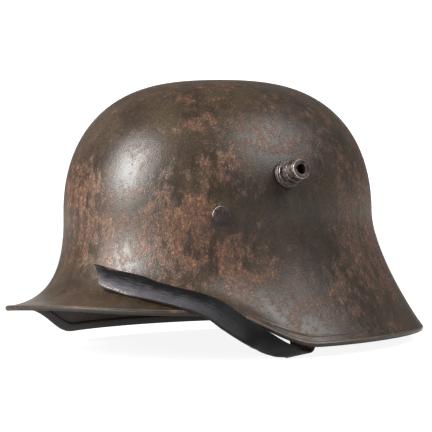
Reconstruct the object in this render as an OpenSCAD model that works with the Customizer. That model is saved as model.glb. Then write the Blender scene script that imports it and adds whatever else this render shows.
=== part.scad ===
// Steel helmet with a deep skirt and a visor, its riveted liner and a leather chin strap.
// Millimetres. +X is the front, +Y is the wearer's left, +Z is up.
// The strap's fold is the lowest point, at Z = 0, and the folded rim is a little above it.

/* [Dome] */
// Height of the crown
dome_height = 172; // [167:0.5:177]
// Height of the widest line, where the wall is upright
shoulder_height = 85; // [83:0.5:87]
// Reach of the dome to the front at the widest line
dome_front = 109; // [106:0.5:112]
// Reach of the dome to the rear at the widest line
dome_rear = 113.5; // [111:0.5:116]
// Half of the dome's width at the widest line
dome_half_width = 89.5; // [88:0.5:91]
// How square the dome's corner is: less is squarer
crown_round = 0.72; // [0.68:0.01:0.8]
// How flat the dome's side is: less is flatter
side_round = 0.9; // [0.86:0.01:0.95]
// Thickness of the steel sheet
sheet = 1.2; // [1:0.1:1.4]

/* [Visor and skirt] */
// Reach of the rim to the front and to the rear
rim_length = 152.5; // [148:0.5:158]
// Half of the rim's width
rim_half_width = 116; // [112:0.5:120]
// How square the rim's outline is: 2 is an ellipse
rim_square = 2.05; // [1.95:0.01:2.15]
// How far the outline draws in at the ear step
ear_pinch = 8.5; // [5:0.5:11]
// Azimuth of the ear step's narrowest place
ear_pinch_at = 54; // [50:1:58]
// Half of the drawn-in length, in degrees
ear_pinch_width = 19; // [15:1:23]
// Azimuth where the visor's edge starts to drop
step_start = 42; // [38:1:46]
// Azimuth where the drop ends at the skirt
step_end = 75; // [70:1:80]
// Height of the visor's edge in front
visor_front_height = 33.9; // [31:0.1:37]
// Height of the visor's edge at the step
visor_side_height = 27; // [24:0.1:29]
// How far the visor's edge is bent up in front
visor_bent_up = 1.2; // [0:0.1:2]
// How far the visor's edge is bent down on the right
visor_bent_down = 2.4; // [0:0.1:3]
// Height of the skirt's edge below the ear
skirt_height = 8.4; // [7.5:0.1:11]
// Height of the skirt's edge at the rear
skirt_rear_height = 7.4; // [6.5:0.1:11]
// Flare of the visor's edge from upright, in degrees
visor_flare = 87; // [80:1:89]
// Flare of the skirt's edge at the ear, in degrees
ear_flare = 46; // [38:1:50]
// Flare of the skirt's edge at the rear, in degrees
rear_flare = 35; // [28:1:42]

/* [Folded rim] */
// Radius of the rolled edge
roll_r = 1.7; // [1.5:0.1:2]
// Width of the hem that the fold leaves inside
hem_width = 6; // [4.5:0.5:8]

/* [Vent lugs] */
// Azimuth of each lug's foot
lug_at = 71; // [68:1:74]
// Rise of each lug's foot above the widest line
lug_rise = 25.5; // [22:0.5:29]
// Radius of the lug's foot flange
lug_flange_r = 10.2; // [9:0.1:11]
// Radius of the lug's thick part
lug_collar_r = 7.7; // [7.2:0.1:8.5]
// Radius of the lug's nose
lug_nose_r = 6.7; // [6:0.1:7]
// Radius of the air hole through the lug
lug_bore_r = 3.4; // [2.8:0.1:4]
// Length of the lug outside the shell
lug_length = 18; // [15:0.5:20]
// Radius of the lug's shank in the shell
lug_shank_r = 5.2; // [5:0.1:5.6]

/* [Split pins] */
// Azimuth of the two side pins
pin_at = 44; // [40:1:48]
// Rise of the three pins above the widest line
pin_rise = 3; // [2:0.5:5]
// Radius of a pin's head
pin_head_r = 6.3; // [5.5:0.1:7]
// Height of a pin's head
pin_head_rise = 2.3; // [1.8:0.1:2.8]
// Length of each leg after it is bent aside
pin_leg = 11; // [8:0.5:11.5]

/* [Liner] */
// Drop of the steel band's lower edge below the widest line
band_drop = 9.5; // [8:0.5:11]
// Height of the steel band
band_width = 25; // [22:0.5:27]
// Distance from the shell's outside to the band's outside
band_inset = 3; // [2.9:0.1:3.4]
// Thickness of the steel band
band_sheet = 1; // [0.8:0.1:1.2]
// Thickness of the pad leather
leather = 1.6; // [1.4:0.1:2]
// Half of each pad's spread, in degrees
pad_half = 50; // [46:1:54]
// Half of each tongue's width, in degrees
tongue_half = 20; // [17:0.5:20]
// Radius of the drawstring
cord_r = 1.1; // [0.8:0.1:1.3]
// Radius of the hole in each tongue
eyelet_r = 3; // [2.6:0.1:3.4]

/* [Strap fittings] */
// Azimuth of the strap rings
ring_at = 84; // [82:1:86]
// Radius of the ring wire
wire_r = 1.5; // [1.3:0.1:1.6]
// Width of a ring between its sides' centre lines
ring_width = 23; // [21:0.5:25]
// Drop of a ring between its bars' centre lines
ring_drop = 12; // [10:0.5:13]
// Width of a ring's tab
tab_width = 13; // [10:0.5:15]
// Radial play of a ring in its tab
ring_play = 0.06; // [0.04:0.01:0.1]

/* [Chin strap] */
// Thickness of the strap leather
strap_thick = 2.2; // [1.8:0.1:2.3]
// Half of the strap's width where it goes through the ring
strap_half = 8.1; // [7.5:0.1:8.5]

/* [Hidden] */
$fn = 48;
touch = 0.3;
shell_turns = 72;
crown_steps = [4, 10, 18, 27, 36, 46, 56, 66, 75, 83, 90];
drape_steps = 11;
lug_hole_r = lug_shank_r + touch;
pin_height = shoulder_height + pin_rise;
band_bottom = shoulder_height - band_drop;
leg_width = 3.4;
leg_thick = 0.9;
pin_hole_r = 2.2;
rivet_r = 1.2;
band_inner = band_inset + band_sheet;
ring_inset = 4.3;
ring_height = band_bottom - 5.5;
cushion_heights = [band_bottom + 14.5, band_bottom + 43.5];
bar_height = ring_height - ring_drop;
pads = [60, 180, 300];
tongue_at = 90 / len(pads);
brown = [0.34, 0.22, 0.13];
black = [0.07, 0.07, 0.08];

function mix(a, b, t) = a + (b - a) * t;
function smooth(a, b, x) = let (t = min(1, max(0, (x - a) / (b - a)))) t * t * (3 - 2 * t);
function wrap(f) = ((f % 360) + 360) % 360;
function from_front(f) = wrap(f) > 180 ? 360 - wrap(f) : wrap(f);
function oval(a, b, n, f) = pow(pow(abs(cos(f)) / a, n) + pow(abs(sin(f)) / b, n), -1 / n);

// The dome's widest outline: reach, outward direction and a point set in from it
function dome_a(f) = cos(f) > 0 ? dome_front : dome_rear;
function dome_r(f) = oval(dome_a(f), dome_half_width, 2, f);
function facing(f) = atan2(sin(f) / pow(dome_half_width, 2), cos(f) / pow(dome_a(f), 2));
function wall(f, inset, k = 1) = let (n = facing(f), r = k * dome_r(f))
    [r * cos(f) - inset * cos(n), r * sin(f) - inset * sin(n)];

// The rim: reach, height, flare, and the two lengths that shape the sheet down to it
function stepped(f) = smooth(step_start, step_end, from_front(f));
function flared(f) = smooth(step_start - 25, step_end, from_front(f));
function rearward(f) = smooth(85, 165, from_front(f));
function rim_r(f) = oval(rim_length, rim_half_width, rim_square, f)
    - ear_pinch * bell(from_front(f), ear_pinch_at, ear_pinch_width);
function bell(x, at, width) = exp(-pow((x - at) / width, 2));
function bent(f) = let (g = wrap(f) > 180 ? wrap(f) - 360 : wrap(f))
    visor_bent_up * bell(g, 6, 14) - visor_bent_down * bell(g, -38, 20);
function rim_z(f) = let (g = from_front(f))
    bent(f) + mix(mix(visor_front_height, visor_side_height, pow(sin(min(g, 90)), 2)),
        mix(skirt_height, skirt_rear_height, smooth(100, 180, g)), stepped(f));
function rim_flare(f) = mix(visor_flare, mix(ear_flare, rear_flare, rearward(f)), flared(f));
function wall_pull(f) = mix(0.85, 0.3, stepped(f)) * (shoulder_height - rim_z(f));
function rim_pull(f) = mix(16, mix(14.5, 17.5, rearward(f)), flared(f));

// Upright section of the shell's outside: each entry is [reach, height, outward reach, outward height]
function unit(v) = v / norm(v);
function crown_at(f, u) = let (c = cos(u), s = sin(u), rise = dome_height - shoulder_height,
        t = unit([dome_r(f) * crown_round * pow(c, 2 - side_round),
            -rise * side_round * pow(s, 2 - crown_round)]))
    [dome_r(f) * pow(s, crown_round), shoulder_height + rise * pow(c, side_round), -t[1], t[0]];
function drape_at(f, t) = let (p0 = [dome_r(f), shoulder_height], p1 = p0 - [0, wall_pull(f)],
        p3 = [rim_r(f), rim_z(f)],
        p2 = p3 - rim_pull(f) * [sin(rim_flare(f)), -cos(rim_flare(f))], s = 1 - t,
        p = s * s * s * p0 + 3 * s * s * t * p1 + 3 * s * t * t * p2 + t * t * t * p3,
        d = unit(s * s * (p1 - p0) + 2 * s * t * (p2 - p1) + t * t * (p3 - p2)))
    [p[0], p[1], -d[1], d[0]];
function outside(f) = concat([for (u = crown_steps) crown_at(f, u)],
    [for (i = [1 : drape_steps]) drape_at(f, 0.955 * i / drape_steps)]);
function inset_point(q, d) = [q[0] - d * q[2], q[1] - d * q[3]];
function roll_proud(f) = mix(0.4, 0.15, stepped(f));
function rim_end(f) = let (q = drape_at(f, 1), out = [q[2], q[3]], along = [q[3], -q[2]],
        c = [q[0], q[1]] - (roll_r - roll_proud(f)) * out - 1.0 * along)
    [for (w = [50, 15, -20, -55, -90]) c + roll_r * (sin(w) * out + cos(w) * along)];
function hem_at(f) = 1 - hem_width / (rim_pull(f) * 2.2);
function section(f) = concat([for (q = outside(f)) inset_point(q, 0)], rim_end(f),
    [inset_point(drape_at(f, hem_at(f)), sheet + roll_r),
        inset_point(drape_at(f, hem_at(f) - 0.02), sheet)],
    [for (i = [drape_steps - 3 : -2 : 1]) inset_point(drape_at(f, 0.955 * i / drape_steps), sheet)],
    [for (k = [len(crown_steps) - 1 : -1 : 0]) inset_point(crown_at(f, crown_steps[k]), sheet)]);

// Surface grids: rows of points, closed round, with side faces where they end
function flat(rows) = [for (row = rows) for (p = row) p];
function turned(p, f) = [p[0] * cos(f), p[0] * sin(f), p[1]];

module spun(rows, top, bottom) {
    n = len(rows[0]);
    m = len(rows);
    polyhedron(concat(flat(rows), [top, bottom]), concat(
        [for (i = [0 : m - 1]) for (j = [0 : n - 2]) let (a = i * n + j, b = ((i + 1) % m) * n + j)
            for (t = [[a, b, b + 1], [a, b + 1, a + 1]]) t],
        [for (i = [0 : m - 1]) [m * n, ((i + 1) % m) * n, i * n]],
        [for (i = [0 : m - 1]) [m * n + 1, i * n + n - 1, ((i + 1) % m) * n + n - 1]]));
}

// A tube of rings: the ends are closed across, from one side to the other, unless it runs round
function strip(j, n) = concat(j == 0 ? [] : [[j, j + 1, n - j]],
    j == n / 2 - 1 ? [] : [[j + 1, n - j - 1, (n - j) % n]]);
module tube(rings, round = false) {
    n = len(rings[0]);
    m = len(rings);
    last = round ? m - 1 : m - 2;
    polyhedron(flat(rings), concat(
        [for (i = [0 : last]) for (j = [0 : n - 1]) let (a = i * n + j, b = i * n + (j + 1) % n,
                c = ((i + 1) % m) * n + (j + 1) % n, d = ((i + 1) % m) * n + j)
            for (t = [[a, b, c], [a, c, d]]) t],
        round ? [] : [for (j = [0 : n / 2 - 1]) for (t = strip(j, n)) [t[0], t[2], t[1]]],
        round ? [] : [for (j = [0 : n / 2 - 1]) for (t = strip(j, n)) t + (m - 1) * n * [1, 1, 1]]));
}

// Places things on the shell's wall: local X points out, local Z leans with the tilt
module on_wall(f, z, tilt = 0, k = 1) {
    p = wall(f, 0, k);
    translate([p[0], p[1], z]) rotate([0, 0, facing(f)]) rotate([0, -tilt, 0]) children();
}

// Turns a revolved shape so that its axis points along local X
module outward() rotate([0, 90, 0]) children();

lug_u = acos(pow(lug_rise / (dome_height - shoulder_height), 1 / side_round));
lug_spot = crown_at(lug_at, lug_u);
lug_tilt = atan2(lug_spot[3], lug_spot[2]);
module on_lug(side) {
    mirror([0, side < 0 ? 1 : 0, 0]) translate([lug_spot[0] * cos(lug_at), lug_spot[0] * sin(lug_at),
        lug_spot[1]]) rotate([0, 0, facing(lug_at)]) rotate([0, -lug_tilt, 0]) children();
}

module shell() {
    color([0.25, 0.22, 0.18]) difference() {
        spun([for (i = [0 : shell_turns - 1]) let (f = 360 * i / shell_turns)
                [for (p = section(f)) turned(p, f)]],
            [0, 0, dome_height], [0, 0, dome_height - sheet]);
        for (s = [-1, 1]) on_lug(s) outward() translate([0, 0, -8]) cylinder(r = lug_hole_r, h = 16);
        for (f = [pin_at, -pin_at, 180])
            on_wall(f, pin_height) outward() translate([0, 0, -6]) cylinder(r = pin_hole_r, h = 12);
    }
}

// Lug: flange and ring on the shell, groove, thick part, step and nose, bored right through
module lug() {
    foot = -sheet - 0.4 - touch;
    outward() rotate_extrude() polygon([[lug_bore_r, foot - 2.2], [lug_shank_r + 1.2, foot - 2.2],
        [lug_shank_r + 1.6, foot - 1.8], [lug_shank_r + 1.6, foot - 1.05],
        [lug_shank_r, foot - 1.05], [lug_shank_r, touch], [lug_flange_r, touch],
        [lug_flange_r, 1.4], [lug_flange_r - 0.4, 1.8], [lug_flange_r - 1.1, 1.8],
        [lug_flange_r - 1.1, 3.1], [lug_flange_r - 1.5, 3.5], [lug_collar_r - 1.1, 3.7],
        [lug_collar_r - 1.1, 4.6], [lug_collar_r - 0.4, 4.9], [lug_collar_r, 5.4],
        [lug_collar_r, 9], [lug_collar_r - 0.3, 9.5], [lug_nose_r, 9.8],
        [lug_nose_r, lug_length - 0.6], [lug_nose_r - 0.6, lug_length],
        [lug_bore_r + 0.4, lug_length], [lug_bore_r, lug_length - 0.4]]);
}
module left_vent_lug() color([0.3, 0.27, 0.25]) on_lug(1) lug();
module right_vent_lug() color([0.3, 0.27, 0.25]) on_lug(-1) lug();
module lug_washer() outward() translate([0, 0, -sheet - 0.4 - touch - 1]) difference() {
    cylinder(r = lug_shank_r + 3, h = 1);
    translate([0, 0, -1]) cylinder(r = lug_shank_r + 0.1, h = 3);
}
module left_lug_washer() color([0.36, 0.35, 0.33]) on_lug(1) lug_washer();
module right_lug_washer() color([0.36, 0.35, 0.33]) on_lug(-1) lug_washer();

// Split pin: domed head outside, two legs through shell and band, bent aside on the washer
pin_depth = band_inner + 1.25;
module split_pin() {
    outward() rotate_extrude() polygon([[0, touch], [pin_head_r, touch], [pin_head_r, 0.9],
        [pin_head_r - 0.5, 1.3], [pin_head_r - 1.6, 1.55], [pin_head_r * 0.5, pin_head_rise - 0.25],
        [0, pin_head_rise]]);
    for (s = [-1, 1]) mirror([0, s < 0 ? 1 : 0, 0])
        translate([0, 0, -leg_width / 2]) linear_extrude(leg_width) polygon([[0.6, 0.03],
            [0.6, leg_thick], [-pin_depth + 0.4, leg_thick], [-pin_depth, leg_thick + 0.4],
            [-pin_depth, leg_thick + pin_leg], [-pin_depth - leg_thick, leg_thick + pin_leg],
            [-pin_depth - leg_thick, 0.6], [-pin_depth - leg_thick + 0.5, 0.03]]);
}
module left_split_pin() color([0.24, 0.21, 0.18]) on_wall(pin_at, pin_height) split_pin();
module right_split_pin() color([0.24, 0.21, 0.18]) on_wall(-pin_at, pin_height) split_pin();
module rear_split_pin() color([0.24, 0.21, 0.18]) on_wall(180, pin_height) split_pin();
module pin_washers() color([0.4, 0.38, 0.35]) for (f = [pin_at, -pin_at, 180])
    on_wall(f, pin_height) outward() translate([0, 0, -pin_depth + 0.05]) difference() {
        cylinder(r = 4.6, h = 0.8);
        translate([0, 0, -1]) cylinder(r = pin_hole_r + 0.1, h = 3);
    }

// Band: an upright steel hoop that follows the shell's widest line
pad_rivet_angles = [-42, -15, 15, 42];
pad_rivet_height = band_bottom + 3.5;
tab_rivet_heights = [band_bottom + 12, band_bottom + 18.5];
module pad_rivet_places() for (c = pads) for (a = pad_rivet_angles)
    on_wall(c + a, pad_rivet_height) outward() children();
module tab_rivet_places() for (s = [-1, 1]) for (z = tab_rivet_heights)
    on_wall(s * ring_at, z) outward() children();
module liner_band() {
    color([0.42, 0.4, 0.36]) difference() {
        translate([0, 0, band_bottom]) linear_extrude(band_width) difference() {
            polygon([for (i = [0 : 119]) wall(3 * i, band_inset)]);
            polygon([for (i = [0 : 119]) wall(3 * i, band_inner)]);
        }
        for (f = [pin_at, -pin_at, 180])
            on_wall(f, pin_height) outward() translate([0, 0, -8]) cylinder(r = pin_hole_r, h = 8);
        pad_rivet_places() translate([0, 0, -8]) cylinder(r = rivet_r + 0.05, h = 8);
        tab_rivet_places() translate([0, 0, -8]) cylinder(r = rivet_r + 0.05, h = 8);
    }
}

// Pad: one sheet of leather from its hem on the band, over the cushion, into two tongues.
// Each row is [share of the dome's reach, inset from it, rise above the band's lower edge,
// half-width of a tongue or 0].
hem_inset = band_inner + 0.1 + leather / 2;
pad_rows = [for (q = [[1, hem_inset, 0.5, 0], [1, hem_inset, 6, 0], [1, hem_inset + 2.8, 9, 0],
    [1, 10.6, 17.5, 0], [1, 14.2, 26.5, 0], [1, 17.6, 35.5, 0], [0.985, 19.6, 41, 1],
    [0.965, 21.6, 46, 1.02], [0.92, 23.4, 51.5, 1.03], [0.85, 24, 56.5, 1.02],
    [0.76, 23.4, 60.5, 1], [0.67, 21.8, 63.7, 0.96], [0.6, 20, 65.7, 0.84],
    [0.55, 18.8, 66.9, 0.6], [0.535, 18.4, 67.3, 0.3]]) q + [0, 0, band_bottom, 0]];
pad_cols = 14;
function pad_angle(row, i) = let (half = pad_cols / 2, w = pad_rows[row][3],
        spread = pad_half * (2 * i / pad_cols - 1))
    w == 0 ? spread : let (s = i <= half - 1 ? -1 : (i >= half + 1 ? 1 : 0),
        x = s < 0 ? 2 * i / (half - 1) - 1 : 2 * (i - half - 1) / (half - 1) - 1,
        at = s * tongue_at + x * w * tongue_half) s == 0 ? 0 : at;
function pad_mid(c, row, i) = let (q = pad_rows[row], p = wall(c + pad_angle(row, i), q[1], q[0]))
    [p[0], p[1], q[2]];
function pad_normal(c, row, i) = let (r0 = max(0, row - 1), r1 = min(len(pad_rows) - 1, row + 1),
        i0 = max(0, i - 1), i1 = min(pad_cols, i + 1))
    unit(cross(pad_mid(c, row, i1) - pad_mid(c, row, i0), pad_mid(c, r1, i) - pad_mid(c, r0, i)));
function has_cell(row, i) = row >= 0 && row < len(pad_rows) - 1 && i >= 0 && i < pad_cols
    && (row < 5 || (i != pad_cols / 2 - 1 && i != pad_cols / 2));
module pad_sheet(c) {
    n = pad_cols + 1;
    m = len(pad_rows);
    sides = [for (s = [0.5, -0.5]) for (r = [0 : m - 1]) for (i = [0 : pad_cols])
        pad_mid(c, r, i) + s * leather * pad_normal(c, r, i)];
    polyhedron(sides, [for (r = [0 : m - 2]) for (i = [0 : pad_cols - 1]) if (has_cell(r, i))
        let (a = r * n + i, b = a + 1, d = a + n, e = d + 1, k = m * n)
        for (t = concat([[a, e, b], [a, d, e], [k + a, k + b, k + e], [k + a, k + e, k + d]],
            has_cell(r - 1, i) ? [] : [[a, b, k + b], [a, k + b, k + a]],
            has_cell(r + 1, i) ? [] : [[d, k + e, e], [d, k + d, k + e]],
            has_cell(r, i - 1) ? [] : [[a, k + a, k + d], [a, k + d, d]],
            has_cell(r, i + 1) ? [] : [[b, k + e, k + b], [b, e, k + e]])) t]);
}
eyelet_row = 11;
function eyelet_spot(c, s) = let (q = pad_rows[eyelet_row], p = wall(c + s * tongue_at, q[1], q[0]))
    [p[0], p[1], q[2]];
module pad(c) {
    color(brown) difference() {
        pad_sheet(c);
        for (s = [-1, 1]) translate(eyelet_spot(c, s) - [0, 0, 6]) cylinder(r = eyelet_r, h = 12);
        for (a = pad_rivet_angles) on_wall(c + a, pad_rivet_height) outward()
            translate([0, 0, -9]) cylinder(r = rivet_r + 0.05, h = 8);
    }
}
module left_liner_pad() pad(pads[0]);
module rear_liner_pad() pad(pads[1]);
module right_liner_pad() pad(pads[2]);

// Cushion: a stuffed bag behind each pad, full in the middle, drawn in at its edges and seams
function leather_inset(z) = lookup(z - band_bottom, [[11.5, 7.4], [17.5, 10.6], [26.5, 14.2],
    [35.5, 17.6], [41, 20.5], [46, 24]]);
cushion_back = 6.6;
function cushion_point(c, x, y, side) = let (z = mix(cushion_heights[0], cushion_heights[1], y),
        a = x * (pad_half - 6 - 5 * pow(abs(2 * y - 1), 3)),
        puff = pow(1 - pow(abs(x), 5), 0.5) * pow(1 - pow(abs(2 * y - 1), 3.2), 0.5)
            * (1 - 0.13 * pow(cos(90 * 3 * x), 8)),
        back = cushion_back + 0.9 * y, front = leather_inset(z) - leather / 2 - 0.5,
        d = (back + front) / 2 + side * puff * (front - back) / 2, p = wall(c + a, d))
    [p[0], p[1], z];
cushion_x = [-1, -0.985, -0.93, -0.82, -0.67, -0.5, -0.33, -0.16, 0, 0.16, 0.33, 0.5, 0.67, 0.82,
    0.93, 0.985, 1];
cushion_y = [0, 0.02, 0.08, 0.2, 0.35, 0.5, 0.65, 0.8, 0.92, 0.98, 1];
module cushion(c) {
    nx = len(cushion_x);
    rings = [for (y = cushion_y) concat([for (i = [0 : nx - 1]) cushion_point(c, cushion_x[i], y, 1)],
        [for (i = [nx - 2 : -1 : 1]) cushion_point(c, cushion_x[i], y, -1)])];
    color([0.45, 0.41, 0.33]) tube([for (k = [1 : len(rings) - 2]) rings[k]]);
}
module left_cushion() cushion(pads[0]);
module rear_cushion() cushion(pads[1]);
module right_cushion() cushion(pads[2]);

module rivet(back, grip) translate([0, 0, -back]) rotate_extrude() polygon([[0, 0], [rivet_r, 0],
    [rivet_r, -grip], [2.7, -grip], [2.5, -grip - 0.5], [1.6, -grip - 0.95], [0, -grip - 1.1]]);
module liner_rivets() color([0.45, 0.38, 0.28])
    pad_rivet_places() rivet(band_inset + 0.02, band_sheet + leather + 0.35);
module tab_rivets() color([0.42, 0.4, 0.36])
    tab_rivet_places() rivet(band_inset - 0.85, band_sheet + 0.95);

// Drawstring: round the crown, down through one tongue and up through the next
cord_rise = (leather / 2 + cord_r + touch) / 0.93;
function cord_at(f) = let (q = pad_rows[eyelet_row], c = wall(f, q[1], q[0]), w = sin(3 * f - 90))
    [c[0], c[1], q[2] + cord_rise * w / sqrt(w * w + 0.006)];
cord_steps = [0, 1, 2, 3, 5, 8, 13, 20, 30, 40, 47, 52, 55, 57, 58, 59];
cord_turns = 6 * len(cord_steps);
cord_points = [for (k = [0 : 5]) for (a = cord_steps) cord_at(30 + 60 * k + a - 60)];
function cord_ring(i) = let (a = cord_points[(i + cord_turns - 1) % cord_turns],
        b = cord_points[(i + 1) % cord_turns], t = unit(b - a), u = unit(cross([0, 0, 1], t)),
        v = cross(t, u))
    [for (k = [0 : 7]) cord_points[i] + cord_r * (cos(45 * k) * u - sin(45 * k) * v)];
module drawstring() color([0.6, 0.53, 0.4]) tube([for (i = [0 : cord_turns - 1]) cord_ring(i)], true);
module drawstring_knot() color([0.6, 0.53, 0.4]) {
    translate(cord_at(0)) rotate([90, 0, 0]) {
        rotate_extrude() translate([cord_r + 0.4 + cord_r, 0])
            for (z = [-1, 1]) translate([0, z * cord_r * 0.9]) circle(r = cord_r);
        for (a = [-1, 1]) rotate([0, 0, 15 * a]) translate([0, -3 * cord_r - 0.3, a * cord_r * 0.9])
            rotate([90 + 14 * a, 0, 0]) cylinder(r = cord_r * 0.8, h = 9);
    }
}

// Ring tab: a strip down the band's outside that ends in an eye for the ring's upper bar
module ring_tab() translate([0, tab_width / 2, 0]) rotate([90, 0, 0]) linear_extrude(tab_width) {
    difference() {
        union() {
            translate([-ring_inset, ring_height]) circle(r = wire_r + 1);
            translate([-band_inset + 0.1, ring_height]) square([0.8, band_bottom + 22 - ring_height]);
        }
        translate([-ring_inset, ring_height]) circle(r = wire_r + ring_play);
    }
}
module ring_tab_cut(s) color([0.42, 0.4, 0.36]) difference() {
    on_wall(s * ring_at, 0) ring_tab();
    for (z = tab_rivet_heights) on_wall(s * ring_at, z) outward() translate([0, 0, -6])
        cylinder(r = rivet_r + 0.05, h = 6);
}
module left_ring_tab() ring_tab_cut(1);
module right_ring_tab() ring_tab_cut(-1);

// Strap ring: a rectangle of round wire with bent corners
corner_r = 3;
module bar(length) rotate([90, 0, 0]) cylinder(r = wire_r, h = length, center = true);
module strap_ring() {
    w = ring_width / 2 - corner_r;
    h = ring_drop / 2 - corner_r;
    for (s = [-1, 1]) {
        translate([0, 0, s * ring_drop / 2]) bar(2 * w);
        translate([0, s * ring_width / 2, 0]) cylinder(r = wire_r, h = 2 * h, center = true);
        for (t = [-1, 1]) translate([0, s * w, t * h]) mirror([0, s < 0 ? 1 : 0, 0])
            mirror([0, 0, t < 0 ? 1 : 0]) rotate([90, 0, 90])
            rotate_extrude(angle = 90) translate([corner_r, 0]) circle(r = wire_r);
    }
}
module hung_ring(s) color([0.5, 0.48, 0.44]) on_wall(s * ring_at, ring_height - ring_drop / 2)
    translate([-ring_inset, 0, 0]) strap_ring();
module left_strap_ring() hung_ring(1);
module right_strap_ring() hung_ring(-1);

// Strap: both runs follow a pair of edges, with the leather's thickness set square to them
function ribbon_normal(a, b, i) = let (i0 = max(0, i - 1), i1 = min(len(a) - 1, i + 1))
    unit(cross((a[i1] + b[i1]) - (a[i0] + b[i0]), a[i] - b[i]));
function curve(p, steps) = [for (i = [0 : len(p) - 2]) for (k = [0 : steps - 1])
        let (t = k / steps, a = p[max(0, i - 1)], b = p[i], c = p[i + 1], d = p[min(len(p) - 1, i + 2)])
        0.5 * (2 * b + (c - a) * t + (2 * a - 5 * b + 4 * c - d) * t * t
            + (3 * b - a - 3 * c + d) * t * t * t), p[len(p) - 1]];
function ring_of(a, b, n, h) = let (w = unit(a - b), e = 0.55)
    [a - e * w + h * n, a - 0.4 * e * w + 0.75 * h * n, a - 0.4 * e * w - 0.75 * h * n,
        a - e * w - h * n, (a + b) / 2 - h * n, b + e * w - h * n, b + 0.4 * e * w - 0.75 * h * n,
        b + 0.4 * e * w + 0.75 * h * n, b + e * w + h * n, (a + b) / 2 + h * n];
function nose(a, b, n, side) = let (d = side * unit(cross(a - b, n)))
    [for (k = [[0.55, 0.82], [0.95, 0.3]]) let (o = k[0] * half_thick * d)
        ring_of(a + o, b + o, n, k[1] * half_thick)];
half_thick = strap_thick / 2;
module ribbon(a, b, round_first, round_last) {
    m = len(a) - 1;
    n0 = ribbon_normal(a, b, 0);
    n1 = ribbon_normal(a, b, m);
    first = nose(a[0], b[0], n0, -1);
    tube(concat(round_first ? [first[1], first[0]] : [],
        [for (i = [0 : m]) ring_of(a[i], b[i], ribbon_normal(a, b, i), half_thick)],
        round_last ? nose(a[m], b[m], n1, 1) : []));
}

// Upper and lower edges of the outer run, from its cut end to the fold. Each entry is a place on
// the shell: azimuth, share of the way down to the rim, distance outward, distance past the rim.
function on_shell(c) = let (q = drape_at(c[0], c[1]))
    turned([q[0] + c[2] * q[2] + c[3] * q[3], q[1] + c[2] * q[3] - c[3] * q[2]], c[0]);
outer_upper = [for (c = [[3.38, 0.286, 2.68, 0], [11.71, 0.329, 1.21, 0], [19.19, 0.365, 1.57, 0],
    [26.39, 0.449, 1.83, 0], [36.18, 0.68, 6.24, 0], [42.1, 0.849, 5.12, 0], [46.34, 0.977, 2.76, 0],
    [51.38, 1, -0.24, 2.44], [60.56, 1, -1.91, 5.14], [71.86, 1, -6.31, 0.32]]) on_shell(c)];
outer_lower = [for (c = [[6.63, 0.445, 0.95, 0], [10.51, 0.567, 4.14, 0], [17.84, 0.614, 1.3, 0],
    [24.54, 0.715, 2.06, 0], [33.97, 0.986, 1.53, 0], [39.69, 1, -1.43, 5.58],
    [43.58, 1, -6.01, 10.51], [49.99, 1, -8.8, 16.33], [55.39, 1, -15.3, 6.78],
    [64.41, 1, -15.81, 0.37]]) on_shell(c)];
module strap_outer_run() color(black)
    ribbon(curve(outer_upper, 3), curve(outer_lower, 3), false, true);

// The inner run turns as it rises from the fold to the ring. Each entry is its middle, and the
// way across it from front to rear.
fold_across = unit(outer_upper[9] - outer_lower[9]);
fold_middle = (outer_upper[9] + outer_lower[9]) / 2;
ring_spot = wall(ring_at, ring_inset);
ring_across = [-sin(facing(ring_at)), cos(facing(ring_at)), 0];
rise_start = fold_middle + (strap_thick + touch) * [-0.381, -0.535, 0.753];
rise_end = [ring_spot[0], ring_spot[1], bar_height - 14.5];
rise_steps = 10;
function rise_across(t) = unit(mix(fold_across, ring_across, smooth(0, 1, t)));
function rise_middle(t) = mix(rise_start, rise_end, t) - 9 * t * (1 - t) * [0, 1, 0];
function rise_edge(s) = [for (i = [0 : rise_steps - 1]) let (t = i / rise_steps)
    rise_middle(t) + s * strap_half * rise_across(t)];

// The loop round the ring's lower bar: each entry is [distance outward from the bar, height]
lap = strap_thick / 2 + 0.05;
turn_r = wire_r + 0.15 + strap_thick / 2;
loop = concat([[lap, bar_height - 14.5], [lap, bar_height - 7.5], [0.85 * turn_r, bar_height - 3.5]],
    [for (w = [0 : 30 : 180]) [turn_r * cos(w), bar_height + turn_r * sin(w)]],
    [[-0.85 * turn_r, bar_height - 3.5], [-lap, bar_height - 7.5], [-lap, bar_height - 16]]);
function loop_edge(s) = let (n = facing(ring_at))
    [for (q = loop) [ring_spot[0] + q[0] * cos(n), ring_spot[1] + q[0] * sin(n), q[1]]
        + s * strap_half * ring_across];
module strap_rivet_places() for (s = [-1, 1]) on_wall(ring_at, bar_height - 11.5)
    translate([-ring_inset, s * 4.5, 0]) outward() children();
module strap_inner_run() color(black) difference() {
    ribbon(concat(rise_edge(1), loop_edge(1)), concat(rise_edge(-1), loop_edge(-1)), true, false);
    strap_rivet_places() cylinder(r = rivet_r + 0.05, h = 12, center = true);
}
module strap_rivets() color([0.3, 0.28, 0.25]) strap_rivet_places() rotate_extrude() {
    e = 2 * lap;
    polygon([[0, -e - 0.9], [1.6, -e - 0.8], [2.5, -e - 0.1], [rivet_r, -e - 0.1],
        [rivet_r, e + 0.1], [2.5, e + 0.1], [1.6, e + 0.8], [0, e + 0.9]]);
}

shell();
left_vent_lug();
right_vent_lug();
left_lug_washer();
right_lug_washer();
left_split_pin();
right_split_pin();
rear_split_pin();
pin_washers();
liner_band();
left_liner_pad();
right_liner_pad();
rear_liner_pad();
left_cushion();
right_cushion();
rear_cushion();
liner_rivets();
drawstring();
drawstring_knot();
left_ring_tab();
right_ring_tab();
tab_rivets();
left_strap_ring();
right_strap_ring();
strap_inner_run();
strap_outer_run();
strap_rivets();
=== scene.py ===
# Steel helmet with a visor and a deep skirt: its looks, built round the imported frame. Metres.
# +X is the front, +Y is the wearer's left, +Z is up.
import bisect
import math

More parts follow.
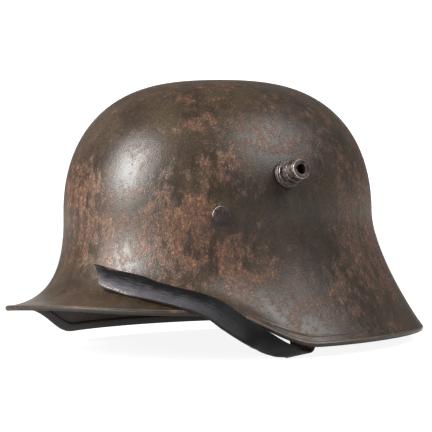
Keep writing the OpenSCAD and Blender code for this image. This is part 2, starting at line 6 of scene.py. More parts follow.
import bpy
from mathutils import Matrix, Vector, noise


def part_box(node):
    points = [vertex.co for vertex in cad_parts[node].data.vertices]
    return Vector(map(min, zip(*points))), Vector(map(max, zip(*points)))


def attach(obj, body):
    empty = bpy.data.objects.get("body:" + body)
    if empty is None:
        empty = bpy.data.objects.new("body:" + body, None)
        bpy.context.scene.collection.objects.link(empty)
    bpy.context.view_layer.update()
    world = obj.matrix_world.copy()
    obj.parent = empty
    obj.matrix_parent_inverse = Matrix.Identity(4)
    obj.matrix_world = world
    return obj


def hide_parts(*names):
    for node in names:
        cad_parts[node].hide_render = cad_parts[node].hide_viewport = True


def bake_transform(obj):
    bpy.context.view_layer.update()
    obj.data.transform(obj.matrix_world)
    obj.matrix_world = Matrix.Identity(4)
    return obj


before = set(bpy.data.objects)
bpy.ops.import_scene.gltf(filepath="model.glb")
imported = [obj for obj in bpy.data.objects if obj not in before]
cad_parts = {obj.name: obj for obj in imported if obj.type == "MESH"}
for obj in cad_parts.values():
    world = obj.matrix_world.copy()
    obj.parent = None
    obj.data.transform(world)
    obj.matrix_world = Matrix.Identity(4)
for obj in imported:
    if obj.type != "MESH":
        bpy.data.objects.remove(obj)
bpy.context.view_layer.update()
print("frame loaded")


# Small helpers

def mix(a, b, t):
    return a + (b - a) * t


def smooth(a, b, x):
    t = min(1, max(0, (x - a) / (b - a)))
    return t * t * (3 - 2 * t)


def bump(x, centre, width):
    return math.exp(-((x - centre) / width) ** 2)


def clearSelection():
    if bpy.context.mode != "OBJECT":
        bpy.ops.object.mode_set(mode="OBJECT")
    bpy.ops.object.select_all(action="DESELECT")


def activate(piece):
    clearSelection()
    piece.select_set(True)
    bpy.context.view_layer.objects.active = piece
    return piece


def settle(piece):
    # the finished object sits at the origin, and its place is in its mesh
    activate(piece)
    bpy.ops.object.transform_apply(location=True, rotation=True, scale=True)
    return piece


def applyModifier(piece, kind, **settings):
    activate(piece)
    modifier = piece.modifiers.new(kind.title(), kind)
    for key, value in settings.items():
        setattr(modifier, key, value)
    bpy.ops.object.modifier_apply(modifier=modifier.name)


def smoothShade(piece, degrees=35):
    activate(piece)
    bpy.ops.object.shade_smooth_by_angle(angle=math.radians(degrees))


def pointsOf(piece):
    return [v.co.copy() for v in piece.data.vertices]


def paintPoints(piece, name, values):
    layer = piece.data.attributes.get(name) or piece.data.attributes.new(name, "FLOAT", "POINT")
    layer.data.foreach_set("value", values)


def catmull(points, steps):
    # a smooth run through the points, with this many steps in each span
    made = []
    for i in range(len(points) - 1):
        a, b = points[max(0, i - 1)], points[i]
        c, d = points[i + 1], points[min(len(points) - 1, i + 2)]
        for k in range(steps):
            t = k / steps
            made.append(0.5 * (2 * b + (c - a) * t + (2 * a - 5 * b + 4 * c - d) * t * t
                               + (3 * b - a - 3 * c + d) * t ** 3))
    return made + [points[-1]]


# Camera: the photograph's place and angle, fitted to the rim, the lug, the pin and the outline

cameraFit = {
    "imageSide": 432,                       # pixels
    "aim": Vector((0, 0, 0.085)),           # point that the photograph shows at aimPixel
    "aimPixel": (218.4, 214.42),
    "pixelsPerMetre": 1538,                 # at the aim
    "azimuth": 43.03,                       # degrees from the front towards the left side
    "elevation": 1.245,
    "roll": -0.942,
    "distance": 1.2635,
    "sensor": 36,                           # millimetres
}


def makeCamera(fit):
    a, e, r = (math.radians(fit[k]) for k in ("azimuth", "elevation", "roll"))
    back = Vector((math.cos(e) * math.cos(a), math.cos(e) * math.sin(a), math.sin(e)))
    level = Vector((-math.sin(a), math.cos(a), 0))
    upright = back.cross(level)
    right = math.cos(r) * level + math.sin(r) * upright
    up = -math.sin(r) * level + math.cos(r) * upright
    eye = fit["aim"] + fit["distance"] * back
    bpy.ops.object.camera_add(location=eye)
    camera = bpy.context.object
    camera.name = "camera"
    camera.matrix_world = Matrix.Translation(eye) @ Matrix((right, up, back)).transposed().to_4x4()
    camera.data.sensor_width = fit["sensor"]
    side = fit["imageSide"]
    camera.data.lens = fit["pixelsPerMetre"] * fit["distance"] * fit["sensor"] / side
    camera.data.shift_x = (side / 2 - fit["aimPixel"][0]) / side
    camera.data.shift_y = (fit["aimPixel"][1] - side / 2) / side
    camera.data.clip_start = 0.01
    bpy.context.scene.camera = camera
    return camera


clearSelection()
makeCamera(cameraFit)


# Light: a soft box high in front, a weaker one at the left side, and a pale room. A white backdrop
# stands behind the helmet.

studio = {
    "boxes": [                              # name, azimuth, elevation, distance, width, height, watts
        ("frontBox", -12, 29, 1.5, 0.46, 0.95, 50),
        ("sideBox", 112, 42, 1.6, 1.0, 0.8, 18),
    ],
    "roomStrength": 0.19,
    "floorSide": 8,
    "floorColour": (0.3, 0.3, 0.3, 1),
    "floorGlow": 0.9,
    "backdrop": (1.15, 0.54, 2.2),          # width, height, distance behind the helmet
}


def makeLight(name, azimuth, elevation, distance, width, height, watts):
    a, e = math.radians(azimuth), math.radians(elevation)
    way = Vector((math.cos(e) * math.cos(a), math.cos(e) * math.sin(a), math.sin(e)))
    bpy.ops.object.light_add(type="AREA", location=cameraFit["aim"] + distance * way)
    lamp = bpy.context.object
    lamp.name = name
    lamp.rotation_euler = way.to_track_quat("Z", "Y").to_euler()
    lamp.data.shape = "RECTANGLE"
    lamp.data.size = width
    lamp.data.size_y = height
    lamp.data.energy = watts


def makeRoom(strength):
    world = bpy.data.worlds.new("room")
    world.use_nodes = True
    sky = world.node_tree.nodes["Background"]
    sky.inputs["Color"].default_value = (1, 1, 1, 1)
    sky.inputs["Strength"].default_value = strength
    bpy.context.scene.world = world


def makePaleSurface(name, colour, glow):
    # white where the camera, a reflection or glass looks at it, and plain for the light in the room
    material = bpy.data.materials.new(name)
    material.use_nodes = True
    tree = material.node_tree
    surface = tree.nodes["Principled BSDF"]
    surface.inputs["Base Color"].default_value = colour
    surface.inputs["Roughness"].default_value = 0.9
    surface.inputs["Specular IOR Level"].default_value = 0
    surface.inputs["Emission Color"].default_value = (1, 1, 1, 1)
    path = tree.nodes.new("ShaderNodeLightPath")
    seen = path.outputs["Is Camera Ray"]
    for output in ("Is Glossy Ray", "Is Transmission Ray"):
        either = tree.nodes.new("ShaderNodeMath")
        either.operation = "MAXIMUM"
        tree.links.new(seen, either.inputs[0])
        tree.links.new(path.outputs[output], either.inputs[1])
        seen = either.outputs[0]
    level = tree.nodes.new("ShaderNodeMath")
    level.operation = "MULTIPLY"
    level.inputs[1].default_value = glow
    tree.links.new(seen, level.inputs[0])
    tree.links.new(level.outputs[0], surface.inputs["Emission Strength"])
    return material


def makeFloor(settings):
    bpy.ops.mesh.primitive_plane_add(size=settings["floorSide"])
    floor = bpy.context.object
    floor.name = "studioFloor"
    floor.data.materials.append(makePaleSurface("paleFloor", settings["floorColour"], settings["floorGlow"]))


def makeBackdrop(settings):
    width, height, distance = settings["backdrop"]
    a = math.radians(cameraFit["azimuth"])
    bpy.ops.mesh.primitive_plane_add(size=1)
    wall = bpy.context.object
    wall.name = "studioBackdrop"
    wall.scale = (width, height, 1)
    wall.rotation_euler = (math.pi / 2, 0, a + math.pi / 2)
    wall.location = (-distance * math.cos(a), -distance * math.sin(a), height / 2 - 0.01)
    wall.data.materials.append(makePaleSurface("whiteBackdrop", (0.8, 0.8, 0.8, 1), 1))


for box in studio["boxes"]:
    makeLight(*box)
makeRoom(studio["roomStrength"])
makeFloor(studio)
makeBackdrop(studio)
bpy.context.scene.view_settings.view_transform = "Standard"
print("camera, light and floor made")


# Material helpers

def addNode(tree, kind, inputs=None, **settings):
    made = tree.nodes.new("ShaderNode" + kind)
    for key, value in settings.items():
        setattr(made, key, value)
    for key, value in (inputs or {}).items():
        if isinstance(value, bpy.types.NodeSocket):
            tree.links.new(value, made.inputs[key])
        else:
            made.inputs[key].default_value = value
    return made


def sums(tree, operation, a, b, clamp=False):
    return addNode(tree, "Math", {0: a, 1: b}, operation=operation, use_clamp=clamp).outputs[0]


def blendColours(tree, share, a, b, how="MIX"):
    made = addNode(tree, "Mix", data_type="RGBA", blend_type=how, clamp_factor=True)
    for index, value in ((0, share), (6, a), (7, b)):
        if isinstance(value, bpy.types.NodeSocket):
            tree.links.new(value, made.inputs[index])
        else:
            made.inputs[index].default_value = value
    return made.outputs[2]


def spread(tree, value, low, high, toLow=0.0, toHigh=1.0):
    inputs = {"Value": value, "From Min": low, "From Max": high, "To Min": toLow, "To Max": toHigh}
    return addNode(tree, "MapRange", inputs, interpolation_type="SMOOTHSTEP").outputs["Result"]


def newGroup(name, inputs, outputs):
    tree = bpy.data.node_groups.new(name, "ShaderNodeTree")
    for label, kind, value in inputs:
        socket = tree.interface.new_socket(label, in_out="INPUT", socket_type="NodeSocket" + kind)
        if value is not None:
            socket.default_value = value
    for label, kind in outputs:
        tree.interface.new_socket(label, in_out="OUTPUT", socket_type="NodeSocket" + kind)
    return tree, tree.nodes.new("NodeGroupInput").outputs, tree.nodes.new("NodeGroupOutput").inputs


def useGroup(tree, group, **inputs):
    made = tree.nodes.new("ShaderNodeGroup")
    made.node_tree = group
    for key, value in inputs.items():
        if isinstance(value, bpy.types.NodeSocket):
            tree.links.new(value, made.inputs[key])
        else:
            made.inputs[key].default_value = value
    return made


def makeSpeckleGroup():
    # broken fine blotches: Amount is the share of the surface that they cover
    tree, given, put = newGroup("speckle", [
        ("Vector", "Vector", None), ("Scale", "Float", 500.0), ("Amount", "Float", 0.3),
        ("Softness", "Float", 0.06)], [("Mask", "Float"), ("Height", "Float")])
    fine = addNode(tree, "TexNoise", {"Vector": given["Vector"], "Scale": given["Scale"],
                                      "Detail": 5.0, "Roughness": 0.62})
    edge = spread(tree, given["Amount"], 0.0, 1.0, 0.78, 0.3)
    lower = sums(tree, "SUBTRACT", edge, given["Softness"])
    upper = sums(tree, "ADD", edge, given["Softness"])
    mask = addNode(tree, "MapRange", {"Value": fine.outputs["Fac"], "From Min": lower,
                                      "From Max": upper}, interpolation_type="SMOOTHSTEP")
    tree.links.new(mask.outputs["Result"], put["Mask"])
    tree.links.new(fine.outputs["Fac"], put["Height"])
    return tree


def makeStainGroup():
    # one soft-edged patch round a centre, with a ragged outline
    tree, given, put = newGroup("stain", [
        ("Vector", "Vector", None), ("Ragged", "Vector", None), ("Centre", "Vector", (0, 0, 0)),
        ("Reach", "Vector", (1, 1, 1)), ("Strength", "Float", 1.0)], [("Mask", "Float")])
    moved = addNode(tree, "VectorMath", {0: given["Vector"], 1: given["Centre"]}, operation="SUBTRACT")
    scaled = addNode(tree, "VectorMath", {0: moved.outputs[0], 1: given["Reach"]}, operation="DIVIDE")
    torn = addNode(tree, "VectorMath", {0: scaled.outputs[0], 1: given["Ragged"]}, operation="ADD")
    far = addNode(tree, "VectorMath", {0: torn.outputs[0]}, operation="LENGTH")
    mask = spread(tree, far.outputs["Value"], 1.25, 0.35)
    tree.links.new(sums(tree, "MULTIPLY", mask, given["Strength"]), put["Mask"])
    return tree


def makeWearAndGlintGroup():
    # rubbed edges, also used for painted highlights: Edge is 1 where a corner is, and noise breaks it up
    tree, given, put = newGroup("rubbedEdgeAndGlint", [
        ("Vector", "Vector", None), ("Edge", "Float", 0.0), ("Scale", "Float", 300.0)],
        [("Mask", "Float")])
    rough = addNode(tree, "TexNoise", {"Vector": given["Vector"], "Scale": given["Scale"],
                                       "Detail": 4.0, "Roughness": 0.6})
    lifted = sums(tree, "ADD", given["Edge"], sums(tree, "SUBTRACT", rough.outputs["Fac"], 0.5))
    tree.links.new(spread(tree, lifted, 0.45, 0.8), put["Mask"])
    return tree


def makeGrainGroup():
    # leather: pebbled cells with creases between them
    tree, given, put = newGroup("leatherGrain", [
        ("Vector", "Vector", None), ("Scale", "Float", 900.0), ("Crease", "Float", 0.5)],
        [("Height", "Float"), ("Mask", "Float")])
    torn = addNode(tree, "TexNoise", {"Vector": given["Vector"], "Scale": given["Scale"], "Detail": 2.0})
    cells = addNode(tree, "TexVoronoi", {"Vector": given["Vector"], "Scale": given["Scale"]},
                    feature="DISTANCE_TO_EDGE")
    pebble = spread(tree, cells.outputs["Distance"], 0.0, 0.35)
    folds = addNode(tree, "TexNoise", {"Vector": given["Vector"], "Scale": 90.0, "Detail": 6.0,
                                       "Roughness": 0.7, "Distortion": 0.6})
    line = spread(tree, sums(tree, "ABSOLUTE", sums(tree, "SUBTRACT", folds.outputs["Fac"], 0.5), 0.0),
                  0.0, 0.035)
    deep = sums(tree, "MULTIPLY", sums(tree, "SUBTRACT", 1.0, line), given["Crease"])
    height = sums(tree, "SUBTRACT", sums(tree, "ADD", pebble, torn.outputs["Fac"]), deep)
    tree.links.new(height, put["Height"])
    tree.links.new(deep, put["Mask"])
    return tree


groups = {"speckle": makeSpeckleGroup(), "stain": makeStainGroup(), "wearAndGlint": makeWearAndGlintGroup(),
          "grain": makeGrainGroup()}


def newMaterial(name, **plain):
    # plain settings go straight on the shader's sockets
    material = bpy.data.materials.new(name)
    material.use_nodes = True
    tree = material.node_tree
    surface = tree.nodes["Principled BSDF"]
    for key, value in plain.items():
        surface.inputs[key.replace("_", " ")].default_value = value
    place = addNode(tree, "TexCoord").outputs["Object"]
    return material, tree, surface, place


def linkBump(tree, surface, height, strength, distance):
    made = addNode(tree, "Bump", {"Height": height, "Strength": strength, "Distance": distance})
    tree.links.new(made.outputs["Normal"], surface.inputs["Normal"])


def pointValue(tree, name):
    return addNode(tree, "Attribute", attribute_name=name, attribute_type="GEOMETRY").outputs["Fac"]


# Shell paint: dark olive-brown paint with fine rust speckle, gathered in patches, and cleaner round
# the lug and the pin

paintLook = {
    "paint": (0.0200, 0.0124, 0.0078, 1),
    "paintPale": (0.056, 0.0375, 0.0240, 1),
    "olive": (0.040, 0.0290, 0.0135, 1),
    "rustFilm": (0.077, 0.0365, 0.0195, 1),
    "rustDark": (0.046, 0.0215, 0.0125, 1),
    "rust": (0.116, 0.0525, 0.0270, 1),
    "rustPale": (0.245, 0.132, 0.072, 1),
    "insidePaintAndRimShade": (0.0165, 0.0125, 0.0092, 1),
    "rubbedAndGlint": (0.20, 0.17, 0.145, 1),
    "roughness": (0.34, 0.48, 0.75),        # bare paint, rust, inside
    "fineScale": 1100.0,
    "clumpScale": 190.0,
    "softness": 0.13,
    "drift": (0.10, 0.40),                  # rust between the patches, least and most
    "clumps": (-0.36, 0.28),                # what the clumps take away and add
    "film": (0.22, 1.0),                    # brown film under the flecks, least and most
    "cover": 0.8,                           # how fully a fleck hides the paint
    "grain": (0.55, 1.5),                   # darkest and lightest of the fine grain
    "rustPatches": [                        # centre, reach, strength
        ((0.073, 0.046, 0.141), (0.026, 0.022, 0.008), 0.45),
        ((0.107, -0.015, 0.092), (0.022, 0.034, 0.032), 0.34),
        ((0.109, 0.003, 0.072), (0.022, 0.040, 0.022), 0.26),
        ((0.099, 0.037, 0.087), (0.022, 0.026, 0.022), 0.42),
        ((0.086, 0.055, 0.086), (0.020, 0.022, 0.026), 0.50),
        ((0.081, 0.058, 0.110), (0.014, 0.014, 0.020), 0.30),
        ((0.101, 0.038, 0.064), (0.026, 0.032, 0.018), 0.40),
        ((0.071, 0.070, 0.060), (0.030, 0.028, 0.016), 0.46),
        ((0.066, 0.077, 0.047), (0.022, 0.022, 0.014), 0.46),
        ((0.048, 0.081, 0.080), (0.010, 0.010, 0.020), 0.25),
        ((0.062, 0.068, 0.120), (0.009, 0.009, 0.008), 0.35),
        ((0.052, 0.045, 0.156), (0.014, 0.012, 0.007), 0.34),
        ((0.020, 0.059, 0.156), (0.014, 0.014, 0.007), 0.28),
        ((-0.062, 0.088, 0.042), (0.018, 0.024, 0.028), 0.52),
        ((-0.040, 0.082, 0.098), (0.040, 0.030, 0.040), 0.36),
        ((-0.060, 0.075, 0.075), (0.030, 0.030, 0.030), 0.30),
        ((-0.052, 0.086, 0.056), (0.034, 0.030, 0.038), 0.48),
        ((-0.010, 0.070, 0.140), (0.050, 0.030, 0.014), 0.24),
        ((0.022, 0.082, 0.134), (0.030, 0.022, 0.016), 0.36),
        ((0.034, 0.044, 0.166), (0.034, 0.032, 0.009), 0.20),
        ((-0.062, 0.066, 0.098), (0.026, 0.030, 0.040), 0.40),
        ((0.010, 0.101, 0.033), (0.050, 0.030, 0.018), 0.24),
        ((-0.080, -0.060, 0.060), (0.050, 0.050, 0.030), 0.30),
        ((-0.020, -0.088, 0.090), (0.040, 0.030, 0.030), 0.30),
        ((0.060, -0.070, 0.060), (0.040, 0.030, 0.020), 0.34),
        ((-0.100, 0.010, 0.110), (0.030, 0.040, 0.030), 0.26),
        ((0.000, -0.030, 0.168), (0.050, 0.030, 0.020), 0.20),
    ],
    "cleanPatches": [
        ((0.062, 0.068, 0.088), (0.016, 0.016, 0.014), 0.40),
        ((0.045, 0.081, 0.086), (0.014, 0.014, 0.026), 0.30),
        ((0.026, 0.089, 0.100), (0.030, 0.020, 0.028), 0.34),
        ((0.026, 0.089, 0.062), (0.032, 0.022, 0.020), 0.24),
        ((0.079, 0.017, 0.150), (0.030, 0.034, 0.014), 0.24),
        ((0.083, 0.045, 0.129), (0.012, 0.014, 0.012), 0.22),
        ((0.103, 0.024, 0.101), (0.016, 0.016, 0.018), 0.26),
        ((0.125, 0.010, 0.040), (0.040, 0.080, 0.016), 0.16),
    ],
}


def addPatches(tree, place, ragged, patches):
    total = None
    for centre, reach, strength in patches:
        mask = useGroup(tree, groups["stain"], Vector=place, Ragged=ragged, Centre=centre, Reach=reach,
                        Strength=strength).outputs["Mask"]
        total = mask if total is None else sums(tree, "MAXIMUM", total, mask)
    return total


def makeShellPaint(look):
    material, tree, surface, place = newMaterial("shellPaint", Specular_IOR_Level=0.48)
    warp = addNode(tree, "TexNoise", {"Vector": place, "Scale": 48.0, "Detail": 4.0, "Roughness": 0.65})
    ragged = addNode(tree, "VectorMath", {0: warp.outputs["Color"], 1: (0.5, 0.5, 0.5)},
                     operation="SUBTRACT")
    ragged = addNode(tree, "VectorMath", {0: ragged.outputs[0], "Scale": 2.8}, operation="SCALE").outputs[0]
    rusty = addPatches(tree, place, ragged, look["rustPatches"])
    clean = addPatches(tree, place, ragged, look["cleanPatches"])
    broad = addNode(tree, "TexNoise", {"Vector": place, "Scale": 34.0, "Detail": 3.0, "Roughness": 0.55})
    drift = spread(tree, broad.outputs["Fac"], 0.32, 0.7, *look["drift"])
    amount = sums(tree, "SUBTRACT", sums(tree, "ADD", rusty, drift), clean)
    # inside: the shell's inside paint, and painted shade on the rolled rim's lower face
    inside = pointValue(tree, "inside")
    amount = sums(tree, "SUBTRACT", amount, sums(tree, "MULTIPLY", inside, 0.12), clamp=True)
    # the rust runs in short upright streaks: the same noise is drawn out along Z
    tall = addNode(tree, "VectorMath", {0: place, 1: (1.0, 1.0, 0.6)}, operation="MULTIPLY").outputs[0]
    clump = addNode(tree, "TexNoise", {"Vector": tall, "Scale": look["clumpScale"], "Detail": 4.0,
                                       "Roughness": 0.65})
    amount = sums(tree, "ADD", amount, spread(tree, clump.outputs["Fac"], 0.3, 0.7, *look["clumps"]),
                  clamp=True)
    speck = useGroup(tree, groups["speckle"], Vector=tall, Scale=look["fineScale"], Amount=amount,
                     Softness=look["softness"])
    # paint, with a soft brown film where the rust is thick
    tone = addNode(tree, "TexNoise", {"Vector": tall, "Scale": 22.0, "Detail": 6.0, "Roughness": 0.66})
    paint = blendColours(tree, spread(tree, tone.outputs["Fac"], 0.36, 0.68), look["paint"],
                         look["paintPale"])
    hue = addNode(tree, "TexNoise", {"Vector": place, "Scale": 60.0, "Detail": 4.0, "Roughness": 0.6})
    paint = blendColours(tree, spread(tree, hue.outputs["Fac"], 0.42, 0.72, 0.0, 0.7), paint, look["olive"])
    # darker inside paint, which also paints the shade under the rolled rim
    paint = blendColours(tree, inside, paint, look["insidePaintAndRimShade"])
    blotch = addNode(tree, "TexNoise", {"Vector": tall, "Scale": 105.0, "Detail": 3.0, "Roughness": 0.6})
    film = sums(tree, "MULTIPLY", amount, spread(tree, blotch.outputs["Fac"], 0.34, 0.66, *look["film"]))
    paint = blendColours(tree, film, paint, look["rustFilm"])
    # flecks of rust, each of its own brown
    kind = addNode(tree, "TexNoise", {"Vector": tall, "Scale": look["fineScale"] * 0.45, "Detail": 3.0,
                                      "Roughness": 0.75})
    rust = blendColours(tree, spread(tree, kind.outputs["Fac"], 0.36, 0.55), look["rustDark"], look["rust"])
    rust = blendColours(tree, spread(tree, kind.outputs["Fac"], 0.54, 0.68), rust, look["rustPale"])
    colour = blendColours(tree, sums(tree, "MULTIPLY", speck.outputs["Mask"], look["cover"]), paint, rust)
    # fine grain over all
    dusty = addNode(tree, "TexNoise", {"Vector": place, "Scale": 1000.0, "Detail": 3.0, "Roughness": 0.7})
    shade = spread(tree, dusty.outputs["Fac"], 0.3, 0.7, *look["grain"])
    grey = addNode(tree, "CombineColor", {0: shade, 1: shade, 2: shade}).outputs[0]
    colour = blendColours(tree, 1.0, colour, grey, "MULTIPLY")
    # worn paint on the hem and the rim, which also stands for the highlight along the rim's bead
    edge = useGroup(tree, groups["wearAndGlint"], Vector=place, Edge=pointValue(tree, "rubbedAndGlint"), Scale=110.0)
    colour = blendColours(tree, sums(tree, "MULTIPLY", edge.outputs["Mask"], 0.32), colour, look["rubbedAndGlint"])
    tree.links.new(colour, surface.inputs["Base Color"])
    low, high, within = look["roughness"]
    matt = spread(tree, amount, 0.0, 0.8, low, high)
    tree.links.new(sums(tree, "MAXIMUM", matt, sums(tree, "MULTIPLY", inside, within)),
                   surface.inputs["Roughness"])
    height = sums(tree, "ADD", sums(tree, "MULTIPLY", speck.outputs["Mask"], 0.6),
                  sums(tree, "MULTIPLY", dusty.outputs["Fac"], 0.8))
    linkBump(tree, surface, height, 0.4, 0.0003)
    return material


# Shell: one upright section from the crown over the rolled rim and back up inside, swept round.
# The sizes are the frame's own, and each ring of a sphere is moved to its place on the section.

shellSize = {
    "domeHeight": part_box("shell")[1].z,
    "shoulderHeight": 0.085,
    "domeFront": 0.109,
    "domeRear": 0.1135,
    "domeHalfWidth": 0.0895,
    "crownRound": 0.72,                     # powers of the dome's section: on its reach
    "sideRound": 0.9,                       # and on its height
    "sheet": 0.0012,
    "rimLength": 0.1525,
    "rimHalfWidth": 0.116,
    "rimSquare": 2.05,                      # power of the rim's oval, where 2 is an ellipse
    "earPinch": 0.0085,
    "earPinchAt": 54,                       # degrees
    "earPinchWidth": 19,
    "stepStart": 42,
    "stepEnd": 75,
    "visorFrontHeight": 0.0339,
    "visorSideHeight": 0.027,
    "bentUp": (0.0012, 6, 14),              # rise, azimuth, width of the bend in the visor's edge
    "bentDown": (0.0024, -38, 20),
    "skirtHeight": 0.0084,
    "skirtRearHeight": 0.0074,
    "visorFlare": 87,
    "earFlare": 46,
    "rearFlare": 35,
    "rimPull": (0.016, 0.0145, 0.0175),     # how far the flare reaches: at the visor, the ear, the rear
    "rollRadius": 0.0017,
    "rollProud": (0.0004, 0.00015),         # on the visor and on the skirt
    "hemWidth": 0.0048,
    "hemSwell": 0.00022,                    # how far the hem stands out on the outside
    "hemGroove": 0.00032,
    "hemShows": (48, 59, 66, 84),           # degrees: it grows, is full, still full, and has faded
    "hemFaint": (0.35, 0.4),                # what is left of it along the visor and the skirt
    "turns": 240,
    "crownRings": 34,
    "drapeRings": 40,
}


def frontAngle(f):
    f %= 360
    return 360 - f if f > 180 else f


def oval(a, b, power, f):
    r = math.radians(f)
    return ((abs(math.cos(r)) / a) ** power + (abs(math.sin(r)) / b) ** power) ** (-1 / power)


def domeEnd(f):
    return shellSize["domeFront"] if math.cos(math.radians(f)) > 0 else shellSize["domeRear"]


def domeReach(f):
    return oval(domeEnd(f), shellSize["domeHalfWidth"], 2, f)


def facing(f):
    r = math.radians(f)
    return math.atan2(math.sin(r) / shellSize["domeHalfWidth"] ** 2, math.cos(r) / domeEnd(f) ** 2)


def wallPoint(f, depth, height, share=1):
    r, n, reach = math.radians(f), facing(f), share * domeReach(f)
    return Vector((reach * math.cos(r) - depth * math.cos(n), reach * math.sin(r) - depth * math.sin(n),
                   height))


def stepped(f):
    return smooth(shellSize["stepStart"], shellSize["stepEnd"], frontAngle(f))


def flared(f):
    return smooth(shellSize["stepStart"] - 25, shellSize["stepEnd"], frontAngle(f))


def rearward(f):
    return smooth(85, 165, frontAngle(f))


def rimReach(f):
    size = shellSize
    pinch = size["earPinch"] * bump(frontAngle(f), size["earPinchAt"], size["earPinchWidth"])
    return oval(size["rimLength"], size["rimHalfWidth"], size["rimSquare"], f) - pinch


def rimHeight(f):
    size, g = shellSize, frontAngle(f)
    signed = f % 360 - 360 if f % 360 > 180 else f % 360
    (up, upAt, upWidth), (down, downAt, downWidth) = size["bentUp"], size["bentDown"]
    bent = up * bump(signed, upAt, upWidth) - down * bump(signed, downAt, downWidth)
    visor = mix(size["visorFrontHeight"], size["visorSideHeight"], math.sin(math.radians(min(g, 90))) ** 2)
    skirt = mix(size["skirtHeight"], size["skirtRearHeight"], smooth(100, 180, g))
    return bent + mix(visor, skirt, stepped(f))


def rimFlare(f):
    size = shellSize
    return math.radians(mix(size["visorFlare"], mix(size["earFlare"], size["rearFlare"], rearward(f)),
                            flared(f)))


def withNormal(r, z, alongR, alongZ):
    length = math.hypot(alongR, alongZ)
    return (r, z, -alongZ / length, alongR / length)


def crownAt(f, degrees):
    size, u = shellSize, math.radians(degrees)
    rise = size["domeHeight"] - size["shoulderHeight"]
    c, s, reach = math.cos(u), math.sin(u), domeReach(f)
    return withNormal(reach * s ** size["crownRound"],
                      size["shoulderHeight"] + rise * max(c, 0) ** size["sideRound"],
                      reach * size["crownRound"] * max(c, 1e-9) ** (2 - size["sideRound"]),
                      -rise * size["sideRound"] * s ** (2 - size["crownRound"]))


def rimPull(f):
    atVisor, atEar, atRear = shellSize["rimPull"]
    return mix(atVisor, mix(atEar, atRear, rearward(f)), flared(f))


def drapeAt(f, t):
    size, s = shellSize, 1 - t
    flare, pull = rimFlare(f), rimPull(f)
    p0 = Vector((domeReach(f), size["shoulderHeight"]))
    p1 = p0 - Vector((0, mix(0.85, 0.3, stepped(f)) * (size["shoulderHeight"] - rimHeight(f))))
    p3 = Vector((rimReach(f), rimHeight(f)))
    p2 = p3 - pull * Vector((math.sin(flare), -math.cos(flare)))
    p = s ** 3 * p0 + 3 * s * s * t * p1 + 3 * s * t * t * p2 + t ** 3 * p3
    d = s * s * (p1 - p0) + 2 * s * t * (p2 - p1) + t * t * (p3 - p2)
    return withNormal(p.x, p.y, d.x, d.y)


def inset(q, depth):
    return (q[0] - depth * q[2], q[1] - depth * q[3])


def shellSection(f):
    # entries are (reach, height, inside, rubbed); on the rolled rim, inside also marks the lower and inner
    # face as painted shade, and rubbed is worn paint that partly paints the highlight along the bead
    size = shellSize
    roll, sheet = size["rollRadius"], size["sheet"]
    made = []
    for k in range(1, size["crownRings"] + 1):
        made.append((*inset(crownAt(f, 90 * (k / size["crownRings"]) ** 1.35), 0), 0, 0))
    hemAt = 1 - size["hemWidth"] / (rimPull(f) * 3)
    for k in range(1, size["drapeRings"] + 1):
        t = (hemAt - 0.02) * (k / size["drapeRings"]) ** 0.9
        made.append((*inset(drapeAt(f, t), 0), 0, 0))
    proud = mix(*size["rollProud"], stepped(f))
    # the hem shows most below the ear and fades along the skirt and the visor
    grows, full, stillFull, faded = size["hemShows"]
    onVisor, onSkirt = size["hemFaint"]
    fade = (mix(onVisor, 1, smooth(grows, full, frontAngle(f)))
            * mix(1, onSkirt, smooth(stillFull, faded, frontAngle(f))))
    swell, groove = fade * size["hemSwell"], fade * size["hemGroove"]
    # (step along the wall, depth below its outer face)
    hem = [(-0.012, 0.3 * groove), (-0.005, groove), (0.002, 0.6 * groove), (0.010, -0.7 * swell),
           (0.02, -swell)]
    for step, depth in hem:
        made.append((*inset(drapeAt(f, hemAt + step), depth), 0, 0.4 * bump(step, 0.012, 0.006)))
    last = mix(0.952, 0.962, stepped(f))
    for k in (1, 2, 3):
        made.append((*inset(drapeAt(f, mix(hemAt + 0.02, last, k / 3)), -swell * (1 - k / 3)), 0, 0))
    end = drapeAt(f, 1)
    out, along = Vector((end[2], end[3])), Vector((end[3], -end[2]))
    centre = Vector((end[0], end[1])) - (roll - proud) * out - 0.001 * along
    first = 180 - math.degrees(math.asin((roll - proud) / roll))
    for k in range(12):
        w = mix(first, -92, k / 11)
        a = math.radians(w)
        p = centre + roll * (math.sin(a) * out + math.cos(a) * along)
        # inside is 1 on the roll's lower and inner face, which darkens its paint as painted shade; rubbed
        # peaks on the bead's top as worn paint and a painted highlight
        made.append((p.x, p.y, 1 - smooth(18, 58, w), bump(w, 84, 34)))
    for t, depth in ((0.94, 1.0), (hemAt + 0.02, 1.0), (hemAt + 0.006, 0.85), (hemAt - 0.002, 0.5),
                     (hemAt - 0.006, 0.08), (hemAt - 0.02, 0)):
        made.append((*inset(drapeAt(f, t), sheet + roll * depth), 1, 0.5 * bump(depth, 0.9, 0.2)))
    for k in range(16, 0, -1):
        made.append((*inset(drapeAt(f, (hemAt - 0.04) * k / 16), sheet), 1, 0))
    for k in range(18, 0, -1):
        made.append((*inset(crownAt(f, 90 * (k / 18) ** 1.2), sheet), 1, 0))
    return made


